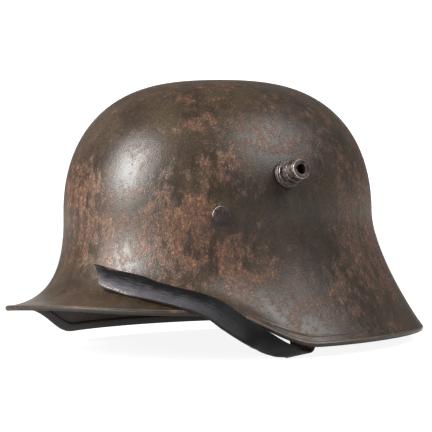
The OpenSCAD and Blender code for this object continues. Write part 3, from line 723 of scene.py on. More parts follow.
def makeShell(size):
    sections = [shellSection(360 * i / size["turns"]) for i in range(size["turns"])]
    rings = len(sections[0])
    clearSelection()
    bpy.ops.mesh.primitive_uv_sphere_add(segments=size["turns"], ring_count=rings + 1, radius=1)
    shell = bpy.context.object
    shell.name = "helmetShell"
    insideAndRimShadeAt, rubbedAndGlintAt = [], []
    for vertex in shell.data.vertices:
        ring = round(math.acos(max(-1, min(1, vertex.co.z))) / math.pi * (rings + 1))
        if ring in (0, rings + 1):
            vertex.co = (0, 0, size["domeHeight"] - (size["sheet"] if ring else 0))
            insideAndRimShadeAt.append(1 if ring else 0)
            rubbedAndGlintAt.append(0)
            continue
        turn = round(math.atan2(vertex.co.y, vertex.co.x) / (2 * math.pi) * size["turns"]) % size["turns"]
        reach, height, inside, rubbedAndGlint = sections[turn][ring - 1]
        a = 2 * math.pi * turn / size["turns"]
        vertex.co = (reach * math.cos(a), reach * math.sin(a), height)
        insideAndRimShadeAt.append(inside)
        rubbedAndGlintAt.append(rubbedAndGlint)
    paintPoints(shell, "inside", insideAndRimShadeAt)
    paintPoints(shell, "rubbedAndGlint", rubbedAndGlintAt)
    shell.data.update()
    return shell


def wallFrame(f, height):
    # a frame on the widest wall: local X points out, local Z up
    n = facing(f)
    return Matrix.Translation(wallPoint(f, 0, height)) @ Matrix.Rotation(n, 4, "Z")


def lugFrame(side):
    # a frame on the lug's foot: local Z points out along the lug
    spin = math.acos((lugSize["rise"] / (shellSize["domeHeight"] - shellSize["shoulderHeight"]))
                     ** (1 / shellSize["sideRound"]))
    q = crownAt(lugSize["azimuth"], math.degrees(spin))
    tilt = math.atan2(q[3], q[2])
    a = math.radians(side * lugSize["azimuth"])
    foot = Matrix.Translation((q[0] * math.cos(a), q[0] * math.sin(a), q[1]))
    turn = Matrix.Rotation(facing(side * lugSize["azimuth"]), 4, "Z") @ Matrix.Rotation(-tilt, 4, "Y")
    return foot @ turn @ Matrix.Rotation(math.pi / 2, 4, "Y")


def finishPiece(piece, name, material, nodes, body="helmet"):
    piece.name = name
    piece.data.name = name
    piece.data.materials.clear()
    piece.data.materials.append(material)
    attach(piece, body)
    if nodes:
        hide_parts(*nodes)
    return piece


def cutAway(piece, cutters):
    # takes the joined cutters out of the piece
    activate(cutters[0])
    for cutter in cutters[1:]:
        cutter.select_set(True)
    if len(cutters) > 1:
        bpy.ops.object.join()
    tool = cutters[0]
    applyModifier(piece, "BOOLEAN", operation="DIFFERENCE", object=tool, solver="EXACT")
    bpy.data.objects.remove(tool)


def drill(matrix, radius, low, high, sides=48):
    clearSelection()
    bpy.ops.mesh.primitive_cylinder_add(vertices=sides, radius=radius, depth=high - low,
                                        location=(0, 0, (low + high) / 2))
    tool = settle(bpy.context.object)
    tool.matrix_world = matrix
    return settle(tool)


# Lugs: turned steel, from the clenched foot inside to the bored nose. Millimetres along the axis.

lugSize = {
    "azimuth": 71,                          # degrees from the front
    "rise": 0.0255,                         # of its foot above the dome's shoulder, in metres
    "hole": 0.0055,                         # radius of the shell's hole, in metres
    "sides": 72,
    "profile": [                            # radius, distance out from the shell
        (3.1, -4.1), (6.4, -4.1), (6.8, -3.7), (6.8, -2.95), (5.2, -2.95), (5.2, 0.25), (8.7, 0.25),
        (8.75, 0.5), (8.7, 1.25), (8.2, 1.45), (8.2, 1.75), (8.5, 1.95), (8.55, 2.6), (8.2, 2.95),
        (7.7, 3.05), (7.7, 3.35), (8.1, 3.55), (8.15, 4.3), (7.7, 4.75), (6.6, 4.9), (6.1, 5.2),
        (6.1, 5.9), (6.7, 6.2), (7.1, 6.7), (7.15, 9.5), (6.85, 10.0), (6.25, 10.3), (6.15, 10.7),
        (6.15, 15.1), (5.8, 15.3), (5.8, 15.65), (6.1, 15.85), (6.0, 16.2), (5.6, 16.5), (3.6, 16.5),
        (3.15, 16.3), (3.1, 16.0)],
    "rubbedAndGlint": [                             # radius, distance, reach of the rubbed corner, strength; these are worn bright edges, partly painted highlights on the rings, the collar and the nose's end
        (8.5, 2.35, 0.35, 0.82), (8.1, 4.15, 0.35, 0.82), (7.15, 7.1, 0.6, 0.62), (6.95, 9.8, 0.35, 0.6),
        (6.15, 14.0, 1.2, 1.05), (5.9, 16.3, 0.3, 0.9), (4.7, 16.5, 1.1, 0.66)],
    "steel": (0.018, 0.012, 0.010, 1),
    "steelPale": (0.092, 0.067, 0.054, 1),
    "brightWearAndHighlight": (0.50, 0.435, 0.39, 1),
    "rust": (0.048, 0.023, 0.015, 1),
}


def turnProfile(profile, sides):
    # the closed profile is a ring of points, spun round the Z axis
    clearSelection()
    bpy.ops.mesh.primitive_circle_add(vertices=len(profile), radius=1)
    piece = bpy.context.object
    for vertex, (radius, height) in zip(piece.data.vertices, profile):
        vertex.co = (radius / 1000, 0, height / 1000)
    bpy.ops.object.mode_set(mode="EDIT")
    bpy.ops.mesh.select_all(action="SELECT")
    bpy.ops.mesh.spin(steps=sides, angle=2 * math.pi, center=(0, 0, 0), axis=(0, 0, 1))
    bpy.ops.mesh.select_all(action="SELECT")
    bpy.ops.mesh.remove_doubles(threshold=1e-6)
    bpy.ops.mesh.normals_make_consistent(inside=False)
    bpy.ops.object.mode_set(mode="OBJECT")
    return piece


def makeLugSteel(size):
    material, tree, surface, place = newMaterial("lugSteel", Specular_IOR_Level=0.45)
    mottle = addNode(tree, "TexNoise", {"Vector": place, "Scale": 420.0, "Detail": 4.0, "Roughness": 0.6})
    colour = blendColours(tree, spread(tree, mottle.outputs["Fac"], 0.42, 0.66), size["steel"],
                          size["steelPale"])
    speck = useGroup(tree, groups["speckle"], Vector=place, Scale=900.0, Amount=0.32, Softness=0.05)
    colour = blendColours(tree, sums(tree, "MULTIPLY", speck.outputs["Mask"], 0.7), colour, size["rust"])
    edge = useGroup(tree, groups["wearAndGlint"], Vector=place, Edge=pointValue(tree, "rubbedAndGlint"), Scale=520.0)
    # bright worn steel, partly a painted highlight
    colour = blendColours(tree, edge.outputs["Mask"], colour, size["brightWearAndHighlight"])
    tree.links.new(colour, surface.inputs["Base Color"])
    tree.links.new(spread(tree, edge.outputs["Mask"], 0, 1, 0.2, 0.85), surface.inputs["Metallic"])
    tree.links.new(spread(tree, mottle.outputs["Fac"], 0.3, 0.7, 0.34, 0.52), surface.inputs["Roughness"])
    linkBump(tree, surface, mottle.outputs["Fac"], 0.3, 0.0002)
    return material


def makeLug(size, side, material):
    piece = turnProfile(size["profile"], size["sides"])
    applyModifier(piece, "BEVEL", width=0.00014, segments=2, limit_method="ANGLE",
                  angle_limit=math.radians(32))
    wearAndSheen = []
    for p in pointsOf(piece):
        radius, height = math.hypot(p.x, p.y) * 1000, p.z * 1000
        wearAndSheen.append(max(strength * bump(math.hypot(radius - r, height - h), 0, reach)
                        for r, h, reach, strength in size["rubbedAndGlint"]))
    paintPoints(piece, "rubbedAndGlint", wearAndSheen)
    piece.matrix_world = lugFrame(side)
    settle(piece)
    smoothShade(piece, 40)
    name = "leftVentLug" if side > 0 else "rightVentLug"
    node = "left_vent_lug" if side > 0 else "right_vent_lug"
    return finishPiece(piece, name, material, [node])


# Split pins: a low domed head outside and two legs bent aside over the washer. Millimetres.

pinSize = {
    "azimuths": {"left": 44, "right": -44, "rear": 180},
    "height": 0.088,                        # in metres
    "hole": 0.0022,                         # radius of the shell's hole, in metres
    "sides": 56,
    "head": [                               # radius, distance out, from the top to the underside
        (0.8, 2.12), (1.7, 2.07), (2.5, 1.96), (3.3, 1.79), (4.0, 1.58), (4.55, 1.36), (4.9, 1.22),
        (5.1, 1.20), (5.3, 1.16), (5.45, 1.0), (5.52, 0.75), (5.52, 0.35), (5.35, 0.25), (3.0, 0.25)],
    "headDrop": 1.3,
    "rubbedAndGlint": (5.36, 0.26),                 # radius and reach of the rubbed ring, partly a painted highlight
    "leg": [(0.6, 0.03), (0.6, 0.93), (-4.8, 0.93), (-5.25, 1.35), (-5.25, 11.9), (-5.7, 12.2),
            (-6.15, 11.6), (-6.15, 0.6), (-5.7, 0.03)],
    "legWidth": 3.4,
    "paint": (0.0165, 0.0095, 0.0080, 1),
    "paintPale": (0.036, 0.0225, 0.0190, 1),
    "brightWearAndHighlight": (0.46, 0.42, 0.39, 1),
}


def ringedPiece(profile, sides):
    # a sphere whose rings are moved to the profile, with its poles on the axis
    rings = len(profile)
    clearSelection()
    bpy.ops.mesh.primitive_uv_sphere_add(segments=sides, ring_count=rings + 1, radius=1)
    piece = bpy.context.object
    for vertex in piece.data.vertices:
        ring = round(math.acos(max(-1, min(1, vertex.co.z))) / math.pi * (rings + 1))
        if ring in (0, rings + 1):
            vertex.co = (0, 0, profile[min(ring, rings - 1)][1] / 1000)
            continue
        a = math.atan2(vertex.co.y, vertex.co.x)
        radius, height = profile[ring - 1]
        vertex.co = (radius / 1000 * math.cos(a), radius / 1000 * math.sin(a), height / 1000)
    piece.data.update()
    return piece


def slab(outline, width):
    # an outline in the XY plane, given a width along Z
    clearSelection()
    bpy.ops.mesh.primitive_circle_add(vertices=len(outline), radius=1, fill_type="NGON")
    piece = bpy.context.object
    for vertex, (x, y) in zip(piece.data.vertices, outline):
        vertex.co = (x / 1000, y / 1000, -width / 2000)
    bpy.ops.object.mode_set(mode="EDIT")
    bpy.ops.mesh.select_all(action="SELECT")
    bpy.ops.mesh.extrude_region_move(TRANSFORM_OT_translate={"value": (0, 0, width / 1000)})
    bpy.ops.mesh.select_all(action="SELECT")
    bpy.ops.mesh.normals_make_consistent(inside=False)
    bpy.ops.object.mode_set(mode="OBJECT")
    return piece


def makePinPaint(size):
    material, tree, surface, place = newMaterial("pinPaint", Specular_IOR_Level=0.35)
    mottle = addNode(tree, "TexNoise", {"Vector": place, "Scale": 520.0, "Detail": 4.0, "Roughness": 0.65})
    colour = blendColours(tree, spread(tree, mottle.outputs["Fac"], 0.4, 0.66), size["paint"],
                          size["paintPale"])
    edge = useGroup(tree, groups["wearAndGlint"], Vector=place, Edge=pointValue(tree, "rubbedAndGlint"), Scale=300.0)
    # bright worn edge, partly a painted highlight
    colour = blendColours(tree, edge.outputs["Mask"], colour, size["brightWearAndHighlight"])
    tree.links.new(colour, surface.inputs["Base Color"])
    tree.links.new(sums(tree, "MULTIPLY", edge.outputs["Mask"], 0.6), surface.inputs["Metallic"])
    tree.links.new(spread(tree, mottle.outputs["Fac"], 0.3, 0.7, 0.42, 0.6), surface.inputs["Roughness"])
    linkBump(tree, surface, mottle.outputs["Fac"], 0.35, 0.0002)
    return material


def makePin(size, where, material):
    parts = [ringedPiece(size["head"], size["sides"])]
    parts[0].rotation_euler = (0, math.pi / 2, 0)
    parts[0].location.z = -size["headDrop"] / 1000
    settle(parts[0])
    for side in (1, -1):
        leg = slab([(x, side * y) for x, y in size["leg"]], size["legWidth"])
        applyModifier(leg, "BEVEL", width=0.00022, segments=2, limit_method="ANGLE",
                      angle_limit=math.radians(40))
        parts.append(leg)
    # the ring round the head is worn paint with a painted highlight, stronger on its upper side
    wearAndSheen = []
    for p in pointsOf(parts[0]):
        high = p.z * 1000 + size["headDrop"]
        radius = math.hypot(p.y * 1000, high)
        wearAndSheen.append(mix(0.1, 0.72, smooth(-0.75, 0.1, high / max(radius, 0.1)))
                    * bump(radius, *size["rubbedAndGlint"]))
    paintPoints(parts[0], "rubbedAndGlint", wearAndSheen)
    activate(parts[0])
    for part in parts[1:]:
        part.select_set(True)
    bpy.ops.object.join()
    piece = parts[0]
    piece.matrix_world = wallFrame(size["azimuths"][where], size["height"])
    settle(piece)
    smoothShade(piece, 40)
    return finishPiece(piece, where + "SplitPin", material, [where + "_split_pin"])


shell = makeShell(shellSize)
holes = [drill(lugFrame(side), lugSize["hole"], -0.008, 0.008) for side in (1, -1)]
sideways = Matrix.Rotation(math.pi / 2, 4, "Y")
for azimuth in pinSize["azimuths"].values():
    holes.append(drill(wallFrame(azimuth, pinSize["height"]) @ sideways, pinSize["hole"], -0.006, 0.006))
cutAway(shell, holes)
smoothShade(shell, 40)
finishPiece(shell, "helmetShell", makeShellPaint(paintLook), ["shell"])
print("shell made")

lugSteel = makeLugSteel(lugSize)
for side in (1, -1):
    makeLug(lugSize, side, lugSteel)
pinPaint = makePinPaint(pinSize)
for where in pinSize["azimuths"]:
    makePin(pinSize, where, pinPaint)
print("lugs and pins made")


# Dull steel of the pieces that keep the frame's own shape: washers, band, tabs, rings and rivets

steelLooks = {
    "washerSteel": {
        "nodes": ["left_lug_washer", "right_lug_washer", "pin_washers"],
        "base": (0.16, 0.14, 0.125, 1), "pale": (0.30, 0.275, 0.25, 1), "stain": (0.085, 0.042, 0.024, 1),
        "stained": 0.42, "roughness": (0.42, 0.6), "metal": 0.75},
    "bandSteel": {
        "nodes": ["liner_band", "left_ring_tab", "right_ring_tab"],
        "base": (0.15, 0.135, 0.12, 1), "pale": (0.26, 0.24, 0.215, 1), "stain": (0.095, 0.048, 0.028, 1),
        "stained": 0.4, "roughness": (0.4, 0.6), "metal": 0.7},
    "rivetSteel": {
        "nodes": ["liner_rivets", "tab_rivets", "strap_rivets"],
        "base": (0.22, 0.185, 0.14, 1), "pale": (0.36, 0.31, 0.24, 1), "stain": (0.09, 0.05, 0.03, 1),
        "stained": 0.34, "roughness": (0.34, 0.52), "metal": 0.8},
    "wireSteel": {
        "nodes": ["left_strap_ring", "right_strap_ring"],
        "base": (0.20, 0.185, 0.17, 1), "pale": (0.36, 0.335, 0.31, 1), "stain": (0.09, 0.047, 0.028, 1),
        "stained": 0.32, "roughness": (0.32, 0.5), "metal": 0.85},
}


def makeDullSteel(name, look):
    material, tree, surface, place = newMaterial(name, Metallic=look["metal"])
    cloudy = addNode(tree, "TexNoise", {"Vector": place, "Scale": 130.0, "Detail": 5.0, "Roughness": 0.6})
    colour = blendColours(tree, spread(tree, cloudy.outputs["Fac"], 0.38, 0.68), look["base"], look["pale"])
    speck = useGroup(tree, groups["speckle"], Vector=place, Scale=380.0, Amount=look["stained"],
                     Softness=0.08)
    colour = blendColours(tree, speck.outputs["Mask"], colour, look["stain"])
    tree.links.new(colour, surface.inputs["Base Color"])
    low, high = look["roughness"]
    tree.links.new(spread(tree, speck.outputs["Mask"], 0, 1, low, high), surface.inputs["Roughness"])
    linkBump(tree, surface, speck.outputs["Height"], 0.25, 0.0002)
    return material


for steelName, look in steelLooks.items():
    steel = makeDullSteel(steelName, look)
    for nodeName in look["nodes"]:
        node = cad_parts[nodeName]
        for entry in node.material_slots:
            entry.material = steel
print("steel fittings finished")


# Pads: one sheet of leather each, from its hem on the band, over the cushion, into two tongues

padSize = {
    "centres": {"left": 60, "rear": 180, "right": 300},
    "bandBottom": 0.0755,
    "half": 50,                             # degrees
    "tongueAt": 30,
    "tongueHalf": 20,
    "leather": 0.0016,
    "columns": 14,
    "rows": [                               # share of reach, inset mm, rise mm, half-width of a tongue
        (1, 4.9, 0.5, 0), (1, 4.9, 6, 0), (1, 7.7, 9, 0), (1, 10.6, 17.5, 0), (1, 14.2, 26.5, 0),
        (1, 17.6, 35.5, 0), (0.985, 19.6, 41, 1), (0.965, 21.6, 46, 1.02), (0.92, 23.4, 51.5, 1.03),
        (0.85, 24, 56.5, 1.02), (0.76, 23.4, 60.5, 1), (0.67, 21.8, 63.7, 0.96), (0.6, 20, 65.7, 0.84),
        (0.55, 18.8, 66.9, 0.6), (0.535, 18.4, 67.3, 0.3)],
    "slitFrom": 5,                          # row where the pad divides into its tongues
    "eyeletRow": 11,
    "eyelet": 0.003,
    "brown": (0.105, 0.052, 0.026, 1),
    "brownPale": (0.215, 0.118, 0.062, 1),
    "dark": (0.032, 0.017, 0.011, 1),
}


def padAngle(row, i):
    size = padSize
    half, width = size["columns"] / 2, size["rows"][row][3]
    if width == 0:
        return size["half"] * (i / half - 1)
    if i == half:
        return 0
    side = -1 if i < half else 1
    x = 2 * i / (half - 1) - 1 if side < 0 else 2 * (i - half - 1) / (half - 1) - 1
    return side * size["tongueAt"] + x * width * size["tongueHalf"]


def padPoint(centre, row, i):
    share, depth, rise = padSize["rows"][row][:3]
    return wallPoint(centre + padAngle(row, i), depth / 1000, padSize["bandBottom"] + rise / 1000, share)


def eyeletPoint(centre, side):
    share, depth, rise = padSize["rows"][padSize["eyeletRow"]][:3]
    return wallPoint(centre + side * padSize["tongueAt"], depth / 1000,
                     padSize["bandBottom"] + rise / 1000, share)


def makePadLeather(size):
    material, tree, surface, place = newMaterial("padLeather", Specular_IOR_Level=0.35)
    cloudy = addNode(tree, "TexNoise", {"Vector": place, "Scale": 38.0, "Detail": 6.0, "Roughness": 0.62})
    colour = blendColours(tree, spread(tree, cloudy.outputs["Fac"], 0.36, 0.68), size["brown"],
                          size["brownPale"])
    grain = useGroup(tree, groups["grain"], Vector=place, Scale=850.0, Crease=0.8)
    colour = blendColours(tree, sums(tree, "MULTIPLY", grain.outputs["Mask"], 0.6), colour, size["dark"])
    spots = useGroup(tree, groups["speckle"], Vector=place, Scale=120.0, Amount=0.3, Softness=0.12)
    colour = blendColours(tree, sums(tree, "MULTIPLY", spots.outputs["Mask"], 0.55), colour, size["dark"])
    tree.links.new(colour, surface.inputs["Base Color"])
    tree.links.new(spread(tree, cloudy.outputs["Fac"], 0.3, 0.7, 0.5, 0.7), surface.inputs["Roughness"])
    linkBump(tree, surface, grain.outputs["Height"], 0.3, 0.0003)
    return material


def makePad(size, where, material):
    n = size["columns"]
    centre = size["centres"][where]
    clearSelection()
    bpy.ops.mesh.primitive_grid_add(x_subdivisions=n, y_subdivisions=len(size["rows"]) - 1, size=2)
    piece = bpy.context.object
    places = []
    for vertex in piece.data.vertices:
        i = round((vertex.co.x + 1) / 2 * n)
        row = round((vertex.co.y + 1) / 2 * (len(size["rows"]) - 1))
        places.append((i, row))
        vertex.co = padPoint(centre, row, i)
    bpy.ops.object.mode_set(mode="EDIT")
    bpy.ops.mesh.select_mode(type="FACE")
    bpy.ops.mesh.select_all(action="DESELECT")
    bpy.ops.object.mode_set(mode="OBJECT")
    for face in piece.data.polygons:
        columns = [places[v][0] for v in face.vertices]
        rows = [places[v][1] for v in face.vertices]
        face.select = min(rows) >= size["slitFrom"] and min(columns) in (n // 2 - 1, n // 2)
    bpy.ops.object.mode_set(mode="EDIT")
    bpy.ops.mesh.delete(type="FACE")
    bpy.ops.mesh.select_all(action="SELECT")
    bpy.ops.mesh.normals_make_consistent(inside=False)
    bpy.ops.object.mode_set(mode="OBJECT")
    applyModifier(piece, "SUBSURF", levels=2, boundary_smooth="PRESERVE_CORNERS")
    for vertex in piece.data.vertices:
        p = vertex.co
        sway = noise.noise(p * 45 + Vector((3, 1, 7)))
        loose = smooth(size["bandBottom"] + 0.008, size["bandBottom"] + 0.03, p.z)
        vertex.co = p + Vector((0, 0, 1)) * 0.0006 * sway * loose
    applyModifier(piece, "SOLIDIFY", thickness=size["leather"] + 0.0001, offset=0)
    applyModifier(piece, "BEVEL", width=0.0003, segments=2, limit_method="ANGLE",
                  angle_limit=math.radians(50))
    punches = []
    for side in (-1, 1):
        spot = eyeletPoint(centre, side)
        punches.append(drill(Matrix.Translation(spot), size["eyelet"], -0.006, 0.006, 32))
    cutAway(piece, punches)
    smoothShade(piece, 45)
    return finishPiece(piece, where + "LinerPad", material, [where + "_liner_pad"])


# Cushions: a stuffed canvas bag behind each pad, drawn in at its edges and at two seams

cushionSize = {
    "low": 0.0145,                          # above the band's lower edge
    "high": 0.0435,
    "back": (6.6, 0.9),                     # inset of the back in mm, and how much more it is at the top
    "front": [(11.5, 7.4), (17.5, 10.6), (26.5, 14.2), (35.5, 17.6), (41, 20.5), (46, 24)],
    "gap": 1.3,
    "narrower": (6, 5),                     # degrees less than the pad's half, and more so at its corners
    "seam": 0.16,                           # how deep the seams draw it in
    "sides": 96,
    "rings": 40,
    "wrinkle": 0.0005,
    "fill": 0.7,
    "cloth": (0.27, 0.235, 0.17, 1),
    "clothDark": (0.135, 0.11, 0.075, 1),
    "stain": (0.10, 0.065, 0.038, 1),
}


def lookup(table, x):
    for (x0, y0), (x1, y1) in zip(table, table[1:]):
        if x <= x1:
            return mix(y0, y1, max(0, (x - x0) / (x1 - x0)))
    return table[-1][1]


def makeCanvas(size):
    material, tree, surface, place = newMaterial("cushionCanvas", Specular_IOR_Level=0.15)
    cloudy = addNode(tree, "TexNoise", {"Vector": place, "Scale": 60.0, "Detail": 5.0, "Roughness": 0.65})
    colour = blendColours(tree, spread(tree, cloudy.outputs["Fac"], 0.38, 0.64), size["cloth"],
                          size["clothDark"])
    spots = useGroup(tree, groups["speckle"], Vector=place, Scale=90.0, Amount=0.25, Softness=0.12)
    colour = blendColours(tree, sums(tree, "MULTIPLY", spots.outputs["Mask"], 0.5), colour, size["stain"])
    upright = addNode(tree, "TexWave", {"Vector": place, "Scale": 320.0, "Distortion": 0.6, "Detail": 1.0},
                      bands_direction="Z")
    crossing = addNode(tree, "TexWave", {"Vector": place, "Scale": 320.0, "Distortion": 0.6,
                                         "Detail": 1.0}, bands_direction="X")
    weave = sums(tree, "ADD", upright.outputs["Fac"], crossing.outputs["Fac"])
    tree.links.new(colour, surface.inputs["Base Color"])
    surface.inputs["Roughness"].default_value = 0.9
    linkBump(tree, surface, weave, 0.5, 0.0003)
    return material


def cushionPoint(centre, x, y, side, puff):
    size = cushionSize
    z = mix(size["low"], size["high"], y) * 1000
    least, corner = size["narrower"]
    a = x * (padSize["half"] - least - corner * abs(2 * y - 1) ** 3)
    back = size["back"][0] + size["back"][1] * y
    front = lookup(size["front"], z) - size["gap"]
    depth = (back + front) / 2 + side * puff * (front - back) / 2
    return wallPoint(centre + a, depth / 1000, padSize["bandBottom"] + z / 1000)


def makeCushion(size, where, material):
    centre = padSize["centres"][where]
    clearSelection()
    bpy.ops.mesh.primitive_uv_sphere_add(segments=size["sides"], ring_count=size["rings"], radius=1)
    piece = bpy.context.object
    for vertex in piece.data.vertices:
        p = vertex.co.copy()
        around = math.atan2(p.y, p.x)
        c, s = math.cos(around), math.sin(around)
        ring = math.sqrt(max(0, 1 - p.z * p.z))
        x = math.copysign(abs(c) ** 0.4, c) * math.sqrt(max(0, 1 - abs(p.z) ** 40))
        y = 0.5 + 0.5 * math.copysign(abs(p.z) ** 0.625, p.z)
        seams = 1 - size["seam"] * math.cos(math.radians(270 * x)) ** 8
        at = cushionPoint(centre, x, y, math.copysign(1, s), abs(s) * ring * seams)
        way = Vector((math.cos(facing(centre)), math.sin(facing(centre)), 0)) * -math.copysign(1, s)
        ripple = noise.noise(at * 160) + 0.5 * noise.noise(at * 330)
        vertex.co = at + way * size["wrinkle"] * ripple * abs(s) * ring
    piece.data.update()
    activate(piece)
    bpy.ops.object.mode_set(mode="EDIT")
    bpy.ops.mesh.select_all(action="SELECT")
    bpy.ops.mesh.normals_make_consistent(inside=False)
    bpy.ops.object.mode_set(mode="OBJECT")
    smoothShade(piece, 60)
    finishPiece(piece, where + "Cushion", material, [where + "_cushion"])
    return piece


padLeather = makePadLeather(padSize)
canvas = makeCanvas(cushionSize)
for where in padSize["centres"]:
    makePad(padSize, where, padLeather)
    makeCushion(cushionSize, where, canvas)
print("pads and cushions made")


# Drawstring: three twisted strands, up and down through the six tongues, tied in front

cordSize = {
    "radius": 0.0011,
    "strands": 3,
    "pitch": 0.0075,                        # length of one whole turn of the strands
    "sides": 15,
    "step": 0.0006,
    "lobe": 0.2,                            # how deep the groove between two strands is
    "gap": 0.0003,
    "lean": 0.93,                           # share of a rise that stands off the leaning pad
    "knotTurns": 2.35,                      # radius of the knot's turns, in radii of the cord
    "firstEnd": [(0.0021, 0.0027, -0.0125), (0.0016, 0.0021, -0.0085), (0.0012, 0.0014, -0.0045)],
    "lastEnd": [(-0.0012, -0.0014, -0.0045), (-0.0018, -0.0022, -0.0085), (-0.0026, -0.0029, -0.0124)],
    "cord": (0.30, 0.225, 0.135, 1),
    "cordDark": (0.13, 0.085, 0.048, 1),
}


def cordPoint(f):
    share, depth, rise = padSize["rows"][padSize["eyeletRow"]][:3]
    w = math.sin(math.radians(3 * f - 90))
    lift = (padSize["leather"] / 2 + cordSize["radius"] + cordSize["gap"]) / cordSize["lean"]
    return wallPoint(f, depth / 1000, padSize["bandBottom"] + rise / 1000
                     + lift * w / math.sqrt(w * w + 0.006), share)


def evenly(points, step, closed):
    # the same path, with points at even steps
    if closed:
        points = points + [points[0]]
    lengths = [0]
    for a, b in zip(points, points[1:]):
        lengths.append(lengths[-1] + (b - a).length)
    count = max(2, round(lengths[-1] / step))
    made, k = [], 0
    for i in range(count if closed else count + 1):
        want = lengths[-1] * i / count
        while k < len(lengths) - 2 and lengths[k + 1] < want:
            k += 1
        t = (want - lengths[k]) / max(lengths[k + 1] - lengths[k], 1e-9)
        made.append(points[k].lerp(points[k + 1], t))
    return made, lengths[-1]


def ropeMesh(name, path, closed, size):
    # a lobed ring is carried along the path and turns as the strands do
    points, length = evenly(path, size["step"], closed)
    turns = max(1, round(length / size["pitch"] * size["strands"])) / size["strands"]
    count, sides = len(points), size["sides"]
    verts, side = [], None
    for i, p in enumerate(points):
        before = points[i - 1] if closed or i > 0 else points[0]
        after = points[(i + 1) % count] if closed or i < count - 1 else points[-1]
        ahead = (after - before).normalized()
        side = Vector((0, 0, 1)).cross(ahead) if side is None or closed else side - side.dot(ahead) * ahead
        side = side.normalized()
        up = ahead.cross(side)
        for k in range(sides):
            a = 2 * math.pi * k / sides
            lobe = abs(math.cos(size["strands"] / 2 * (a - 2 * math.pi * turns * i / count)))
            radius = size["radius"] * (1 - size["lobe"] + size["lobe"] * lobe * 1.3)
            if not closed:
                radius *= mix(0.75, 1, smooth(0, 3, min(i, count - 1 - i)))
            verts.append(p + radius * (math.cos(a) * side + math.sin(a) * up))
    faces = []
    for i in range(count if closed else count - 1):
        for k in range(sides):
            a, b = i * sides + k, i * sides + (k + 1) % sides
            c, d = ((i + 1) % count) * sides + (k + 1) % sides, ((i + 1) % count) * sides + k
            faces.append((a, b, c, d))
    if not closed:
        faces.append(tuple(reversed(range(sides))))
        faces.append(tuple(range((count - 1) * sides, count * sides)))
    mesh = bpy.data.meshes.new(name)
    mesh.from_pydata(verts, [], faces)
    piece = bpy.data.objects.new(name, mesh)
    bpy.context.collection.objects.link(piece)
    smoothShade(piece, 60)
    return piece


def knotPath(size):
    # up from one end, twice round the string, and down again as the other end
    c, thick = cordPoint(0), size["radius"]
    r = size["knotTurns"] * thick
    made = [c + Vector(p) for p in size["firstEnd"]]
    for k in range(25):
        a = math.radians(-90 + 30 * k)
        made.append(c + Vector((r * math.cos(a), mix(thick, -thick, k / 24), r * math.sin(a))))
    made += [c + Vector(p) for p in size["lastEnd"]]
    return catmull(made, 6)


def makeCordLook(size):
    material, tree, surface, place = newMaterial("twistedCord", Roughness=0.8, Specular_IOR_Level=0.2)
    fibre = addNode(tree, "TexNoise", {"Vector": place, "Scale": 700.0, "Detail": 4.0, "Roughness": 0.7})
    soiled = addNode(tree, "TexNoise", {"Vector": place, "Scale": 50.0, "Detail": 4.0})
    share = sums(tree, "ADD", sums(tree, "MULTIPLY", fibre.outputs["Fac"], 0.6),
                 sums(tree, "MULTIPLY", soiled.outputs["Fac"], 0.4))
    colour = blendColours(tree, spread(tree, share, 0.38, 0.62), size["cord"], size["cordDark"])
    tree.links.new(colour, surface.inputs["Base Color"])
    linkBump(tree, surface, fibre.outputs["Fac"], 0.4, 0.0002)
    return material


cordLook = makeCordLook(cordSize)
string = ropeMesh("drawstring", [cordPoint(k / 4) for k in range(1440)], True, cordSize)
finishPiece(string, "drawstringCord", cordLook, ["drawstring"])
knot = ropeMesh("knot", knotPath(cordSize), False, cordSize)
finishPiece(knot, "drawstringTie", cordLook, ["drawstring_knot"])
print("drawstring made")


# Strap: one length of leather, from its worn cut end, over the visor and round the rim at the
# fold, then turning as it rises to the left ring and back on itself. Millimetres.

